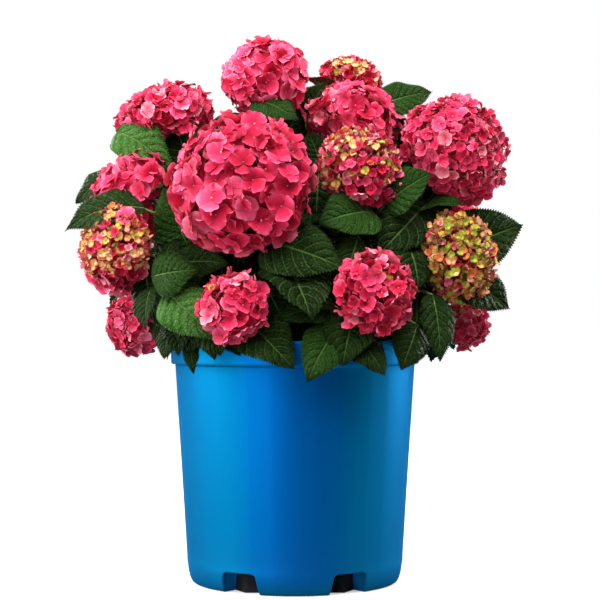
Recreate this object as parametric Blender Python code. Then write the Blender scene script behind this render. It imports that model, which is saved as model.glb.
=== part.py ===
"""A bigleaf hydrangea in bloom, with its plastic nursery pot.

Run it with blender --background --python part.py, or from Blender's text editor.
Metres, +Z up. The origin lies under the middle of the pot, and the front faces -Y.

From the ground up: the pot, the potting soil in it, a woody crown at soil level, and the canes
that rise from the crown. Each cane carries a flowering mass: leafy twigs that each end in a round
flower head. Between them leafy shoots with no flower rise from the crown, and low ones lean out
over the rim.
"""

import math
from collections import defaultdict, namedtuple

import bmesh
import bpy
import numpy as np
from mathutils import Matrix, Vector
from mathutils.bvhtree import BVHTree

MM = 0.001
GAP = 0.3 * MM  # the clearance between pieces that meet
MERGE_DISTANCE = 0.001 * MM

# ---------------------------------------------------------------- driving sizes: the pot
POT_HEIGHT = 218 * MM
RIM_RADIUS = 113.2 * MM
RIM_BAND_HEIGHT = 22 * MM
RIM_FLARE = 0.9 * MM  # the band widens by this from its lower edge to its top
BODY_TOP_RADIUS = 108.7 * MM
BODY_FOOT_RADIUS = 97.8 * MM
FOOT_ROUNDING_HEIGHT = 23 * MM
FOOT_RADIUS = 91.5 * MM
WALL = 2.2 * MM
LIP = 1.0 * MM  # the chamfer on the rim band's two outer edges
POT_SIDES = 40
NOTCH_COUNT = 6
NOTCH_HEIGHT = 18 * MM
NOTCH_TOP_WIDTH = 30 * MM
NOTCH_FOOT_WIDTH = 36 * MM
NOTCH_DEPTH = 16 * MM  # how far a notch cuts in under the floor, from the foot's edge

# ---------------------------------------------------------------- driving sizes: the plant
SOIL_TOP = 188 * MM
SOIL_SHOULDER = 4 * MM  # how much lower the soil lies at the pot's wall
CROWN_RADIUS = 27 * MM
CROWN_FLARE = 1.22  # how much wider the crown's foot is than its dome
LEAST_ANGLE = 18  # degrees between two limbs where they leave the crown
LOWEST_ANGLE = 20  # degrees above the soil at which the lowest limb leaves it
CANE_BASE_RADIUS = 3.8 * MM
CANE_TIP_RADIUS = 2.8 * MM
STEM_LENGTH = 9 * MM  # a mass's own stem, which carries on from its cane
TWIG_FORK = 6.3 * MM  # how far past the cane's tip the twigs branch from that stem
TWIG_BASE_RADIUS = 2.3 * MM
TWIG_TIP_RADIUS = 1.9 * MM
PETIOLE_RADIUS = 1.3 * MM
LEAF_LENGTH = 96 * MM
LEAF_WIDTH = 0.60  # of its length
LEAF_THICKNESS = 1.8 * MM
LEAF_FOLD = 0.14  # how far the edges stand above the midrib, as a share of the half width
LEAF_CLEARANCE = 0.8 * MM  # from a leaf to whatever belongs to another mass
PAIR_SPACING = 24 * MM  # along a twig, from one pair of leaves to the next
PEDUNCLE_LENGTH = 16 * MM  # the bare stalk between a flower head and the pair of leaves below it
SHOOT_TIP_LENGTH = 3 * MM  # the bare tip of a shoot with no flower
LOWEST_LEAF = 4 * MM  # how near the foot of its twig a leaf may stand
REACHER_SHARES = (1.0, 0.96, 0.92, 0.88, 0.82, 0.76)  # the lengths tried for a stated leaf
PAIR_SHARES = (1.0, 0.87, 0.75, 0.63, 0.52)  # the lengths tried for a leaf of a pair
PAIR_SWEEPS = (0, 20, -20, 40, -40)  # the degrees round its twig that such a leaf is swept aside
LEAF_RISE = (24, 12)  # degrees that a leaf stands up from square to its twig, and the spread
LEAF_BEND = (48, 14)  # degrees that a leaf droops from root to tip, and the spread
FLORET_SPACING = 27 * MM  # between the bosses on a flower head
FEWEST_BOSSES = 22
DIMPLE = 0.10  # how deep the hollows between the bosses are, as a share of the head's radius
TWIG_SINKS = 0.4  # where a twig ends in its head: this share of the way down from the centre
HEAD_UNDERSIDE = 0.78  # the depth of a head below its centre, as a share of its height above it

# Sections of a leaf: the share of its length, and its half width as a share of its widest.
LEAF_SECTIONS = ((0.0, 0.0), (0.17, 0.0), (0.42, 1.0), (0.74, 0.66))

# The crown's outline: a dome that holds every leaf, apart from those whose tips are stated.
OUTLINE_REACH = 198 * MM
OUTLINE_FOOT = 194 * MM
OUTLINE_WAIST = 290 * MM  # the dome draws in above this height
OUTLINE_RISE = 185 * MM

# A flower head. bearing is in degrees round the pot from the front, positive to the right as seen
# from the front. reach is the distance of its centre from the pot's axis. wide is its radius across
# its stalk, tall its radius along it, and nod the lean of its face from upright, in degrees.
Head = namedtuple("Head", "name bearing reach height wide tall nod")

# A cane ends in a fork, at this bearing, reach and height. It carries these heads on its twigs.
Cane = namedtuple("Cane", "name bearing reach height heads")

CANES = (
    Cane("front_left", -20, 42, 262, (
        Head("front_large", -24, 109, 350, 64, 60, 62),
        Head("low_front_left", -22, 137, 247, 30, 28, 84),
    )),
    Cane("left", -78, 72, 248, (
        Head("left_young", -69, 165, 298, 40, 33, 82),
        Head("low_left", -83, 150, 233, 29, 27, 96),
    )),
    Cane("upper_left", -100, 58, 312, (
        Head("upper_left", -100, 121, 428, 46, 30, 14),
        Head("left", -83, 152, 363, 36, 29, 42),
    )),
    Cane("top", -66, 14, 338, (
        Head("top", -66, 27, 460, 42, 34, 8),
    )),
    Cane("upper_middle", 96, 36, 325, (
        Head("upper_middle", 92, 54, 419, 43, 33, 16),
        Head("top_small", 138, 78, 465, 29, 21, 18),
    )),
    Cane("front_right", 38, 46, 262, (
        Head("middle_young", 41, 86, 368, 38, 36, 58),
        Head("low_front_right", 30, 135, 258, 38, 34, 84),
    )),
    Cane("right", 78, 70, 266, (
        Head("right", 78, 148, 385, 49, 48, 48),
        Head("right_young", 67, 154, 290, 41, 33, 80),
        Head("low_right", 87, 158, 229, 25, 22, 92),
    )),
    Cane("back_right", 136, 66, 282, (
        Head("back_high_right", 152, 124, 366, 46, 40, 46),
        Head("back_right", 112, 152, 316, 40, 34, 74),
        Head("back_low_right", 141, 150, 254, 36, 32, 86),
    )),
    Cane("back_middle", 179, 46, 292, (
        Head("back_top", 176, 64, 424, 40, 32, 14),
        Head("back_middle", 178, 152, 292, 42, 36, 80),
    )),
    Cane("back_left", -136, 66, 284, (
        Head("back_high_left", -150, 128, 374, 46, 40, 46),
        Head("back_left", -113, 154, 316, 40, 34, 74),
        Head("back_low_left", -143, 150, 254, 37, 32, 86),
    )),
)

# A leafy shoot with no flower, which rises from the woody crown: the bearing, reach and height of
# its tip, and how far the tip leans from upright, in degrees.
Shoot = namedtuple("Shoot", "name bearing reach height lean")

SHOOTS = (
    Shoot("leafy_shoot_front_left", -54, 142, 268, 62),
    Shoot("leafy_shoot_front", -11, 74, 289, 50),
    Shoot("leafy_shoot_front_right", 63, 109, 334, 38),
    Shoot("leafy_shoot_right", 94, 132, 322, 50),
    Shoot("leafy_shoot_back", 181, 98, 346, 40),
    Shoot("leafy_shoot_left", -96, 128, 302, 55),
    Shoot("rim_shoot_front", 3, 104, 239, 84),
    Shoot("rim_shoot_front_right", 52, 116, 238, 84),
    Shoot("rim_shoot_right", 108, 120, 240, 84),
    Shoot("rim_shoot_back_right", 161, 118, 238, 84),
    Shoot("rim_shoot_back_left", -161, 118, 238, 84),
    Shoot("rim_shoot_left", -108, 120, 240, 84),
    Shoot("rim_shoot_front_left", -48, 114, 238, 84),
)

# The leaves that give the crown its outline, hang over the rim or fill a gap between flower heads:
# the head or shoot whose twig carries the leaf, how far back from the twig's end it stands, where
# its tip is (x, y, z), its width, its bend from root to tip in degrees, and where its face looks
# (a bearing and a nod). Lengths are in millimetres.
Reacher = namedtuple("Reacher", "twig back tip width bend face")

REACHERS = (
    # the left side
    Reacher("left_young", 48, (-203, -58, 322), 46, 125, (-60, 30)),
    Reacher("left", 18, (-198, -8, 344), 40, 50, (-60, 35)),
    Reacher("upper_left", 22, (-160, -22, 398), 46, 95, (-30, 50)),
    Reacher("leafy_shoot_front_left", 2, (-88, -112, 283), 40, 60, (-30, 72)),
    Reacher("leafy_shoot_front_left", 4, (-110, -68, 348), 32, 20, (-50, 75)),
    Reacher("leafy_shoot_front_left", 6, (-75, -116, 220), 46, 35, (-20, 60)),
    Reacher("leafy_shoot_front_left", 10, (-62, -96, 286), 42, 40, (-20, 30)),
    Reacher("leafy_shoot_front_left", 14, (-131, -98, 226), 36, 35, (-60, 60)),
    Reacher("rim_shoot_front_left", 4, (-112, -76, 203), 30, 50, (-60, 50)),
    Reacher("rim_shoot_front_left", 8, (-84, -92, 191), 18, 60, (0, 70)),
    # the front
    Reacher("leafy_shoot_front", 3, (42, -110, 282), 52, 45, (5, 45)),
    Reacher("leafy_shoot_front", 28, (34, -116, 241), 38, 70, (10, 30)),
    Reacher("leafy_shoot_front", 12, (-62, -84, 270), 44, 40, (-30, 40)),
    Reacher("low_front_left", 34, (-4, -126, 196), 48, 45, (-15, 45)),
    Reacher("low_front_right", 46, (8, -129, 187), 42, 60, (0, 55)),
    Reacher("low_front_right", 38, (77, -123, 191), 30, 40, (20, 55)),
    Reacher("middle_young", 12, (24, -110, 326), 40, 45, (5, 60)),
    Reacher("middle_young", 30, (50, -113, 268), 26, 45, (15, 60)),
    Reacher("rim_shoot_front_right", 4, (89, -110, 194), 34, 50, (45, 50)),
    # the right side
    Reacher("leafy_shoot_front_right", 2, (121, -74, 360), 42, 70, (20, 60)),
    Reacher("leafy_shoot_front_right", 6, (84, -88, 292), 54, 40, (30, 55)),
    Reacher("leafy_shoot_front_right", 12, (88, -34, 402), 26, 25, (80, 85)),
    Reacher("right_young", 30, (206, -22, 316), 58, 25, (10, 66)),
    Reacher("right_young", 44, (188, -34, 245), 42, 30, (20, 60)),
    Reacher("low_right", 52, (127, -84, 200), 42, 50, (40, 50)),
    Reacher("top_small", 22, (126, 24, 444), 36, 30, (30, 45)),
    # the top
    Reacher("top", 14, (4, -36, 417), 38, 45, (-10, 40)),
    Reacher("upper_middle", 30, (30, -6, 450), 30, 40, (0, 60)),
    # the back
    Reacher("leafy_shoot_back", 3, (0, 172, 352), 32, 40, (180, 30)),
    Reacher("back_top", 44, (-4, 132, 402), 46, 40, (180, 30)),
    Reacher("rim_shoot_back_left", 4, (-40, 122, 190), 44, 55, (-160, 50)),
    Reacher("rim_shoot_back_right", 4, (44, 124, 192), 44, 55, (160, 50)),
    Reacher("rim_shoot_left", 4, (-128, 40, 194), 42, 55, (-100, 50)),
    Reacher("rim_shoot_right", 4, (128, 42, 196), 42, 55, (100, 50)),
)


# ---------------------------------------------------------------- the scene and its materials
def clear_scene():
    """Removes whatever the startup scene holds."""
    for old in list(bpy.data.objects):
        bpy.data.objects.remove(old)


def material(name, color, roughness, metallic=0.0):
    """A Principled material. The colour is linear red, green and blue."""
    made = bpy.data.materials.new(name)
    made.use_nodes = True
    shader = made.node_tree.nodes["Principled BSDF"]
    shader.inputs["Base Color"].default_value = (*color, 1.0)
    shader.inputs["Roughness"].default_value = roughness
    shader.inputs["Metallic"].default_value = metallic
    return made


def finishes():
    """The plant's materials, by name."""
    return {
        "pot": material("blue_plastic", (0.0, 0.22, 0.62), 0.38),
        "soil": material("potting_soil", (0.035, 0.022, 0.014), 0.95),
        "bark": material("woody_bark", (0.16, 0.11, 0.06), 0.85),
        "leaf": material("leaf_green", (0.03, 0.11, 0.025), 0.5),
        "petal": material("petal_pink", (0.80, 0.03, 0.13), 0.6),
        "young": material("petal_young", (0.62, 0.28, 0.06), 0.6),
    }


def add_object(name, mesh, finish):
    """Links a mesh to the scene as a named piece with one material."""
    made = bpy.data.objects.new(name, mesh)
    made.data.materials.clear()
    made.data.materials.append(finish)
    bpy.context.scene.collection.objects.link(made)
    return made


# ---------------------------------------------------------------- shared geometry
def spot(bearing, reach, height):
    """The point at a bearing in degrees, and at a reach and height in metres."""
    turn = math.radians(bearing)
    return Vector((reach * math.sin(turn), -reach * math.cos(turn), height))


def facing(bearing, nod):
    """The unit vector that leans nod degrees from upright towards a bearing."""
    lean = math.radians(nod)
    return spot(bearing, math.sin(lean), math.cos(lean))


def bezier(corners, count):
    """count + 1 points of the cubic Bezier curve with these four corners."""
    points = []
    for step in range(count + 1):
        t = step / count
        weights = ((1 - t) ** 3, 3 * t * (1 - t) ** 2, 3 * t * t * (1 - t), t**3)
        points.append(sum((w * c for w, c in zip(weights, corners)), Vector()))
    return points


def lengths_along(points):
    """The distance of each point from the first, measured along the line."""
    run = [0.0]
    for before, after in zip(points, points[1:]):
        run.append(run[-1] + (after - before).length)
    return run


def along(points, distance):
    """The point and the direction at a distance along a line of points."""
    run = lengths_along(points)
    distance = min(max(distance, 0.0), run[-1])
    for start, end, before, after in zip(points, points[1:], run, run[1:]):
        if distance <= after:
            share = (distance - before) / max(after - before, 1e-9)
            return start.lerp(end, share), (end - start).normalized()
    return points[-1].copy(), (points[-1] - points[-2]).normalized()


def stretch(points, start, end, count):
    """count + 1 places, each a point and a direction, spread evenly between two distances."""
    return [along(points, start + (end - start) * i / count) for i in range(count + 1)]


def finished_mesh(name, bm):
    """A mesh from bm, with its faces turned outwards. bm is freed."""
    bmesh.ops.recalc_face_normals(bm, faces=bm.faces)
    mesh = bpy.data.meshes.new(name)
    bm.to_mesh(mesh)
    bm.free()
    return mesh


def turned_mesh(name, profile, sides):
    """Turns a profile of (radius, height) points about Z into a closed mesh."""
    bm = bmesh.new()
    line = [bm.verts.new((r, 0.0, z)) for r, z in profile]
    edges = [bm.edges.new(pair) for pair in zip(line, line[1:])]
    bmesh.ops.spin(bm, geom=line + edges, axis=(0, 0, 1), cent=(0, 0, 0),
                   steps=sides, angle=math.tau)
    bmesh.ops.remove_doubles(bm, verts=bm.verts, dist=MERGE_DISTANCE)
    return finished_mesh(name, bm)


def tube_mesh(name, places, radii, sides):
    """A closed tube with flat ends through (point, direction) places, a radius for each."""
    bm = bmesh.new()
    side = places[0][1].orthogonal().normalized()
    rings = []
    for (centre, ahead), radius in zip(places, radii):
        side = (side - ahead * side.dot(ahead)).normalized()
        other = ahead.cross(side)
        turns = [math.tau * k / sides for k in range(sides)]
        rings.append([
            bm.verts.new(centre + radius * (side * math.cos(a) + other * math.sin(a)))
            for a in turns
        ])
    for low, high in zip(rings, rings[1:]):
        for k in range(sides):
            nxt = (k + 1) % sides
            bm.faces.new((low[k], low[nxt], high[nxt], high[k]))
    bm.faces.new(rings[0][::-1])
    bm.faces.new(rings[-1])
    return finished_mesh(name, bm)


def tapered(start, end, count):
    """count radii that run evenly from start to end."""
    return [start + (end - start) * i / (count - 1) for i in range(count)]


def keep_largest(mesh):
    """Drops every loose scrap and every sealed hollow, so that one closed body is left."""
    bm = bmesh.new()
    bm.from_mesh(mesh)
    unseen = set(bm.verts)
    shells = []
    while unseen:
        shell, edge = set(), {unseen.pop()}
        while edge:
            shell |= edge
            edge = {e.other_vert(v) for v in edge for e in v.link_edges} - shell
        unseen -= shell
        shells.append(shell)
    shells.sort(key=len)
    for scrap in shells[:-1]:
        bmesh.ops.delete(bm, geom=list(scrap), context="VERTS")
    bm.to_mesh(mesh)
    bm.free()


def fuse(name, pieces):
    """One solid from (mesh, finish) pieces that overlap, by a Boolean union that is applied."""
    group = bpy.data.collections.new(name + "_pieces")
    bpy.context.scene.collection.children.link(group)
    for mesh, finish in pieces[1:]:
        mesh.materials.append(finish)
        group.objects.link(bpy.data.objects.new(mesh.name, mesh))
    body = add_object(name, *pieces[0])
    union = body.modifiers.new("union", "BOOLEAN")
    union.operation = "UNION"
    union.operand_type = "COLLECTION"
    union.collection = group
    union.solver = "MANIFOLD"
    union.material_mode = "TRANSFER"
    graph = bpy.context.evaluated_depsgraph_get()
    joined = bpy.data.meshes.new_from_object(body.evaluated_get(graph))
    keep_largest(joined)
    body.modifiers.clear()
    body.data = joined
    body.data.name = name
    for piece in list(group.objects):
        bpy.data.objects.remove(piece)
    bpy.data.collections.remove(group)
    return body


# ---------------------------------------------------------------- the pot and its soil
def foot_curve(steps):
    """(radius, height) points up the rounded foot, from the ground to the straight body."""
    points = []
    for i in range(steps + 1):
        turn = math.radians(90 * i / steps)
        points.append((
            FOOT_RADIUS + (BODY_FOOT_RADIUS - FOOT_RADIUS) * math.sin(turn),
            FOOT_ROUNDING_HEIGHT * (1 - math.cos(turn)),
        ))
    return points


def inner_radius(height):
    """The radius of the pot's inside at a height, between its foot and its rim band."""
    share = (height - FOOT_ROUNDING_HEIGHT) / (POT_HEIGHT - RIM_BAND_HEIGHT - FOOT_ROUNDING_HEIGHT)
    return BODY_FOOT_RADIUS - WALL + (BODY_TOP_RADIUS - BODY_FOOT_RADIUS) * max(share, 0.0)


def pot_profile():
    """The section through the pot's wall, from the middle of its underside round to its floor."""
    band_foot = POT_HEIGHT - RIM_BAND_HEIGHT
    outside = [(0.0, 0.0), *foot_curve(3), (BODY_TOP_RADIUS, band_foot)]
    band = [
        (RIM_RADIUS - RIM_FLARE - LIP, band_foot),
        (RIM_RADIUS - RIM_FLARE, band_foot + LIP),
        (RIM_RADIUS, POT_HEIGHT - LIP),
        (RIM_RADIUS - LIP, POT_HEIGHT),
        (RIM_RADIUS - WALL, POT_HEIGHT),
        (RIM_RADIUS - RIM_FLARE - WALL, band_foot + WALL),
        (BODY_TOP_RADIUS - WALL, band_foot + WALL),
    ]
    inside = [
        (inner_radius(FOOT_ROUNDING_HEIGHT), FOOT_ROUNDING_HEIGHT),
        (FOOT_RADIUS, WALL),
        (0.0, WALL),
    ]
    return outside + band + inside


def notch_cutter():
    """Wedges that cut the drain notches out of the foot: wider at the ground than at the top."""
    bm = bmesh.new()
    beyond = 5 * MM  # how far the wedges run past what they cut
    inner, outer = FOOT_RADIUS - NOTCH_DEPTH, BODY_FOOT_RADIUS + beyond
    slope = (NOTCH_FOOT_WIDTH - NOTCH_TOP_WIDTH) / 2 / NOTCH_HEIGHT
    for index in range(NOTCH_COUNT):
        turn = Matrix.Rotation(math.tau * (index + 0.5) / NOTCH_COUNT, 4, "Z")
        corners = []
        for z in (-beyond, NOTCH_HEIGHT):
            half = NOTCH_TOP_WIDTH / 2 + slope * (NOTCH_HEIGHT - z)
            for x, y in ((-half, -outer), (half, -outer), (half, -inner), (-half, -inner)):
                corners.append(bm.verts.new(turn @ Vector((x, y, z))))
        low, high = corners[:4], corners[4:]
        bm.faces.new(low[::-1])
        bm.faces.new(high)
        for k in range(4):
            nxt = (k + 1) % 4
            bm.faces.new((low[k], low[nxt], high[nxt], high[k]))
    cutter = bpy.data.objects.new("notch_cutter", finished_mesh("notch_cutter", bm))
    cutter.hide_render = True
    cutter.display_type = "WIRE"
    bpy.context.scene.collection.objects.link(cutter)
    return cutter


def build_pot(finish):
    """The nursery pot: a turned shell with a rim band and a rounded foot, notched for drainage."""
    pot = add_object("pot", turned_mesh("pot", pot_profile(), POT_SIDES), finish)
    cut = pot.modifiers.new("drain_notches", "BOOLEAN")
    cut.operation = "DIFFERENCE"
    cut.object = notch_cutter()
    cut.solver = "EXACT"
    pot.data.shade_smooth()
    return pot


def build_soil(finish):
    """The potting soil: it fills the pot, and stands back from the drain notches."""
    floor = WALL + GAP
    clearance = 2 * GAP  # a turned wall's flats lie inside its radius
    heel_radius = FOOT_RADIUS - NOTCH_DEPTH - 2 * MM
    heel_top = NOTCH_HEIGHT + 4 * MM
    wall = inner_radius(SOIL_TOP) - clearance
    profile = [
        (0.0, floor),
        (heel_radius, floor),
        (heel_radius, heel_top),
        (inner_radius(heel_top) - clearance, heel_top),
        (wall, SOIL_TOP - SOIL_SHOULDER),
        (wall - 5 * SOIL_SHOULDER, SOIL_TOP),
        (0.0, SOIL_TOP),
    ]
    return add_object("potting_soil", turned_mesh("potting_soil", profile, POT_SIDES), finish)


# ---------------------------------------------------------------- the wood
CROWN_CENTRE = Vector((0.0, 0.0, SOIL_TOP + GAP))


def build_crown(finish):
    """The woody crown: a low dome with a flared foot, cut flat where it meets the soil."""
    profile = [(0.0, CROWN_CENTRE.z), (CROWN_RADIUS * CROWN_FLARE, CROWN_CENTRE.z)]
    for degrees in range(14, 72, 19):
        turn = math.radians(degrees)
        profile.append((
            CROWN_RADIUS * math.cos(turn),
            CROWN_CENTRE.z + CROWN_RADIUS * math.sin(turn),
        ))
    profile.append((0.0, CROWN_CENTRE.z + CROWN_RADIUS))
    return add_object("woody_crown", turned_mesh("woody_crown", profile, 20), finish)


def spread_apart(directions):
    """Pushes directions apart until none, or nearly none, stand closer than the least angle."""
    least = math.radians(LEAST_ANGLE)
    lowest = math.sin(math.radians(LOWEST_ANGLE))
    moved = [d.normalized() for d in directions]
    for _ in range(80):
        for i, first in enumerate(moved):
            for j in range(i):
                second = moved[j]
                angle = first.angle(second, 0.0)
                if angle < least:
                    apart = (first - second).normalized() * (least - angle) / 2
                    first = (first + apart).normalized()
                    moved[j] = (second - apart).normalized()
            first.z = max(first.z, lowest)
            moved[i] = first.normalized()
    return moved


def crown_directions():
    """The directions in which the canes and then the leafy shoots leave the crown."""
    aims = [fork_of(cane) - CROWN_CENTRE for cane in CANES]
    aims += [facing(shoot.bearing, shoot.lean * 0.75) for shoot in SHOOTS]
    return spread_apart(aims)


def fork_of(cane):
    """Where a cane ends, and its mass begins."""
    return spot(cane.bearing, cane.reach * MM, cane.height * MM)


def fork_heading(cane):
    """The direction of a cane at its fork: up, and towards the middle of the heads it carries."""
    heading = Vector()
    for head in cane.heads:
        heading += (head_centre(head) - fork_of(cane)).normalized()
    return (heading.normalized() + Vector((0, 0, 0.5))).normalized()


def cane_line(cane, direction):
    """The centreline of a cane, from the middle of the crown to its fork."""
    fork, heading = fork_of(cane), fork_heading(cane)
    span = (fork - CROWN_CENTRE).length
    corners = (CROWN_CENTRE, CROWN_CENTRE + direction * span * 0.45,
               fork - heading * span * 0.3, fork)
    return bezier(corners, 32)


def cane_mesh(cane, line):
    """One tapering cane, from the crown's surface to its fork."""
    places = stretch(line, CROWN_RADIUS + GAP, lengths_along(line)[-1], 5)
    places[-1] = (fork_of(cane), fork_heading(cane))
    radii = tapered(CANE_BASE_RADIUS, CANE_TIP_RADIUS, len(places))
    return tube_mesh("cane_" + cane.name, places, radii, 6)


# ---------------------------------------------------------------- the flower heads
def head_centre(head):
    """The middle of a flower head."""
    return spot(head.bearing, head.reach * MM, head.height * MM)


def head_underside(head):
    """How far below its centre, along its stalk, a head's underside lies."""
    return head.tall * MM * HEAD_UNDERSIDE


def head_frame(head):
    """The matrix that carries a head from its own axes, with +Z along its stalk, into place."""
    turn = facing(head.bearing, head.nod).to_track_quat("Z", "Y").to_matrix().to_4x4()
    return Matrix.Translation(head_centre(head)) @ turn


def floret_places(head):
    """Evenly spread unit directions, one for each boss of florets, by the golden angle."""
    area = 4 * math.pi * head.wide * head.tall * MM * MM
    count = max(FEWEST_BOSSES, round(area / FLORET_SPACING**2))
    golden = math.pi * (3 - math.sqrt(5))
    places = []
    for i in range(count):
        z = 1 - 2 * (i + 0.5) / count
        ring = math.sqrt(1 - z * z)
        places.append(Vector((ring * math.cos(golden * i), ring * math.sin(golden * i), z)))
    return places


def head_mesh(head):
    """A mophead: the hull of its bosses, with a dimple sunk between each three of them."""
    wide, tall = head.wide * MM, head.tall * MM
    bm = bmesh.new()
    for place in floret_places(head):
        depth = tall if place.z > 0 else head_underside(head)
        bm.verts.new((place.x * wide, place.y * wide, place.z * depth))
    bmesh.ops.convex_hull(bm, input=bm.verts, use_existing_faces=False)
    bmesh.ops.triangulate(bm, faces=bm.faces)
    bmesh.ops.recalc_face_normals(bm, faces=bm.faces)
    bmesh.ops.poke(bm, faces=bm.faces, offset=-DIMPLE * wide, center_mode="MEAN")
    bmesh.ops.transform(bm, matrix=head_frame(head), verts=bm.verts)
    return finished_mesh("head_" + head.name, bm)


def twig_line(cane, head):
    """The centreline of a twig, from the stem of its mass to the inside of its flower head."""
    start = fork_of(cane) + fork_heading(cane) * TWIG_FORK
    up = facing(head.bearing, head.nod)
    end = head_centre(head) - up * head_underside(head) * TWIG_SINKS
    span = (end - start).length
    return bezier((start, start + fork_heading(cane) * span * 0.3,
                   end - up * span * 0.45, end), 24)


def shoot_line(shoot, direction):
    """The centreline of a leafy shoot, which arches from the crown's surface out to its tip."""
    tip = spot(shoot.bearing, shoot.reach * MM, shoot.height * MM)
    span = (tip - CROWN_CENTRE).length
    corners = (CROWN_CENTRE, CROWN_CENTRE + direction * span * 0.4,
               tip - facing(shoot.bearing, shoot.lean) * span * 0.35, tip)
    whole = bezier(corners, 32)
    places = stretch(whole, CROWN_RADIUS + GAP, lengths_along(whole)[-1], 24)
    return [point for point, _ in places]


# ---------------------------------------------------------------- the leaves
def leaf_corners(root, heading, face, length, width, bend, swell=0.0):
    """The corners of a leaf: its left edge, right edge and keel at each section, then its tip.

    The midrib is an arc that starts along heading and turns away from face by bend degrees.
    swell thickens the leaf all over, to keep others clear of it.
    """
    side = heading.cross(face)
    turn = math.radians(bend)
    radius = length / turn
    corners = []
    for share, spread in LEAF_SECTIONS:
        angle = turn * share
        centre = root + heading * radius * math.sin(angle) - face * radius * (1 - math.cos(angle))
        up = face * math.cos(angle) + heading * math.sin(angle)
        half = max(spread * width / 2, PETIOLE_RADIUS) + swell
        keel = (LEAF_THICKNESS if spread else PETIOLE_RADIUS) + swell
        lift = LEAF_FOLD * half * bool(spread) + swell
        corners += [centre - side * half + up * lift, centre + side * half + up * lift,
                    centre - up * keel]
    ahead = heading * math.cos(turn) - face * math.sin(turn)
    tip = root + heading * radius * math.sin(turn) - face * radius * (1 - math.cos(turn))
    corners.append(tip + ahead * swell)
    return corners


def leaf_faces(first_section=0):
    """The triangles of a leaf, as triples of its corners: a three-sided loft up to its tip."""
    last = len(LEAF_SECTIONS) - 1
    low = 3 * first_section
    faces = [(low, low + 1, low + 2)]
    for section in range(first_section, last):
        low = 3 * section
        for k in range(3):
            nxt = (k + 1) % 3
            faces += [(low + k, low + 3 + k, low + 3 + nxt), (low + k, low + 3 + nxt, low + nxt)]
    low, tip = 3 * last, 3 * last + 3
    faces += [(low + k, tip, low + (k + 1) % 3) for k in range(3)]
    return faces


def leaf_mesh(corners):
    """A leaf as one closed solid."""
    mesh = bpy.data.meshes.new("leaf")
    mesh.from_pydata([tuple(c) for c in corners], [], leaf_faces())
    bm = bmesh.new()
    bm.from_mesh(mesh)
    bpy.data.meshes.remove(mesh)
    return finished_mesh("leaf", bm)


def square_on(face, heading):
    """The part of face that stands square to heading, as a unit vector."""
    return (face - heading * face.dot(heading)).normalized()


def reaching_leaf(line, leaf, share):
    """The shape of a leaf that reaches for a stated tip: what leaf_corners takes, but for swell."""
    whole = lengths_along(line)[-1]
    root, _ = along(line, whole - leaf.back * MM)
    chord = (Vector(leaf.tip) * MM - root) * share
    across = chord.normalized()
    face = square_on(facing(*leaf.face), across)
    half = math.radians(leaf.bend / 2)
    heading = (across * math.cos(half) + face * math.sin(half)).normalized()
    length = chord.length * half / math.sin(half)
    width = min(leaf.width * MM, 0.75 * length)
    return root, heading, square_on(face, heading), length, width, leaf.bend


def paired_leaf(root, tangent, turn, rise, length, width, bend):
    """The shape of a leaf that stands out from its twig, and looks mostly upwards."""
    side = Matrix.Rotation(turn, 3, tangent) @ tangent.orthogonal().normalized()
    heading = (side * math.cos(rise) + tangent * math.sin(rise)).normalized()
    outward = Vector((heading.x, heading.y, 0.0))
    face = Vector((0, 0, 1.0)) + (tangent + outward) * 0.35
    return root, heading, square_on(face, heading), length, width, bend


def in_outline(corners):
    """True if every corner is in the crown's outline: an upright wall with half an oval on it."""
    for corner in corners:
        rise = max(0.0, corner.z - OUTLINE_WAIST) / OUTLINE_RISE
        reach = math.hypot(corner.x, corner.y) / OUTLINE_REACH
        if corner.z < OUTLINE_FOOT or math.hypot(reach, rise) > 1:
            return False
    return True


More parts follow.
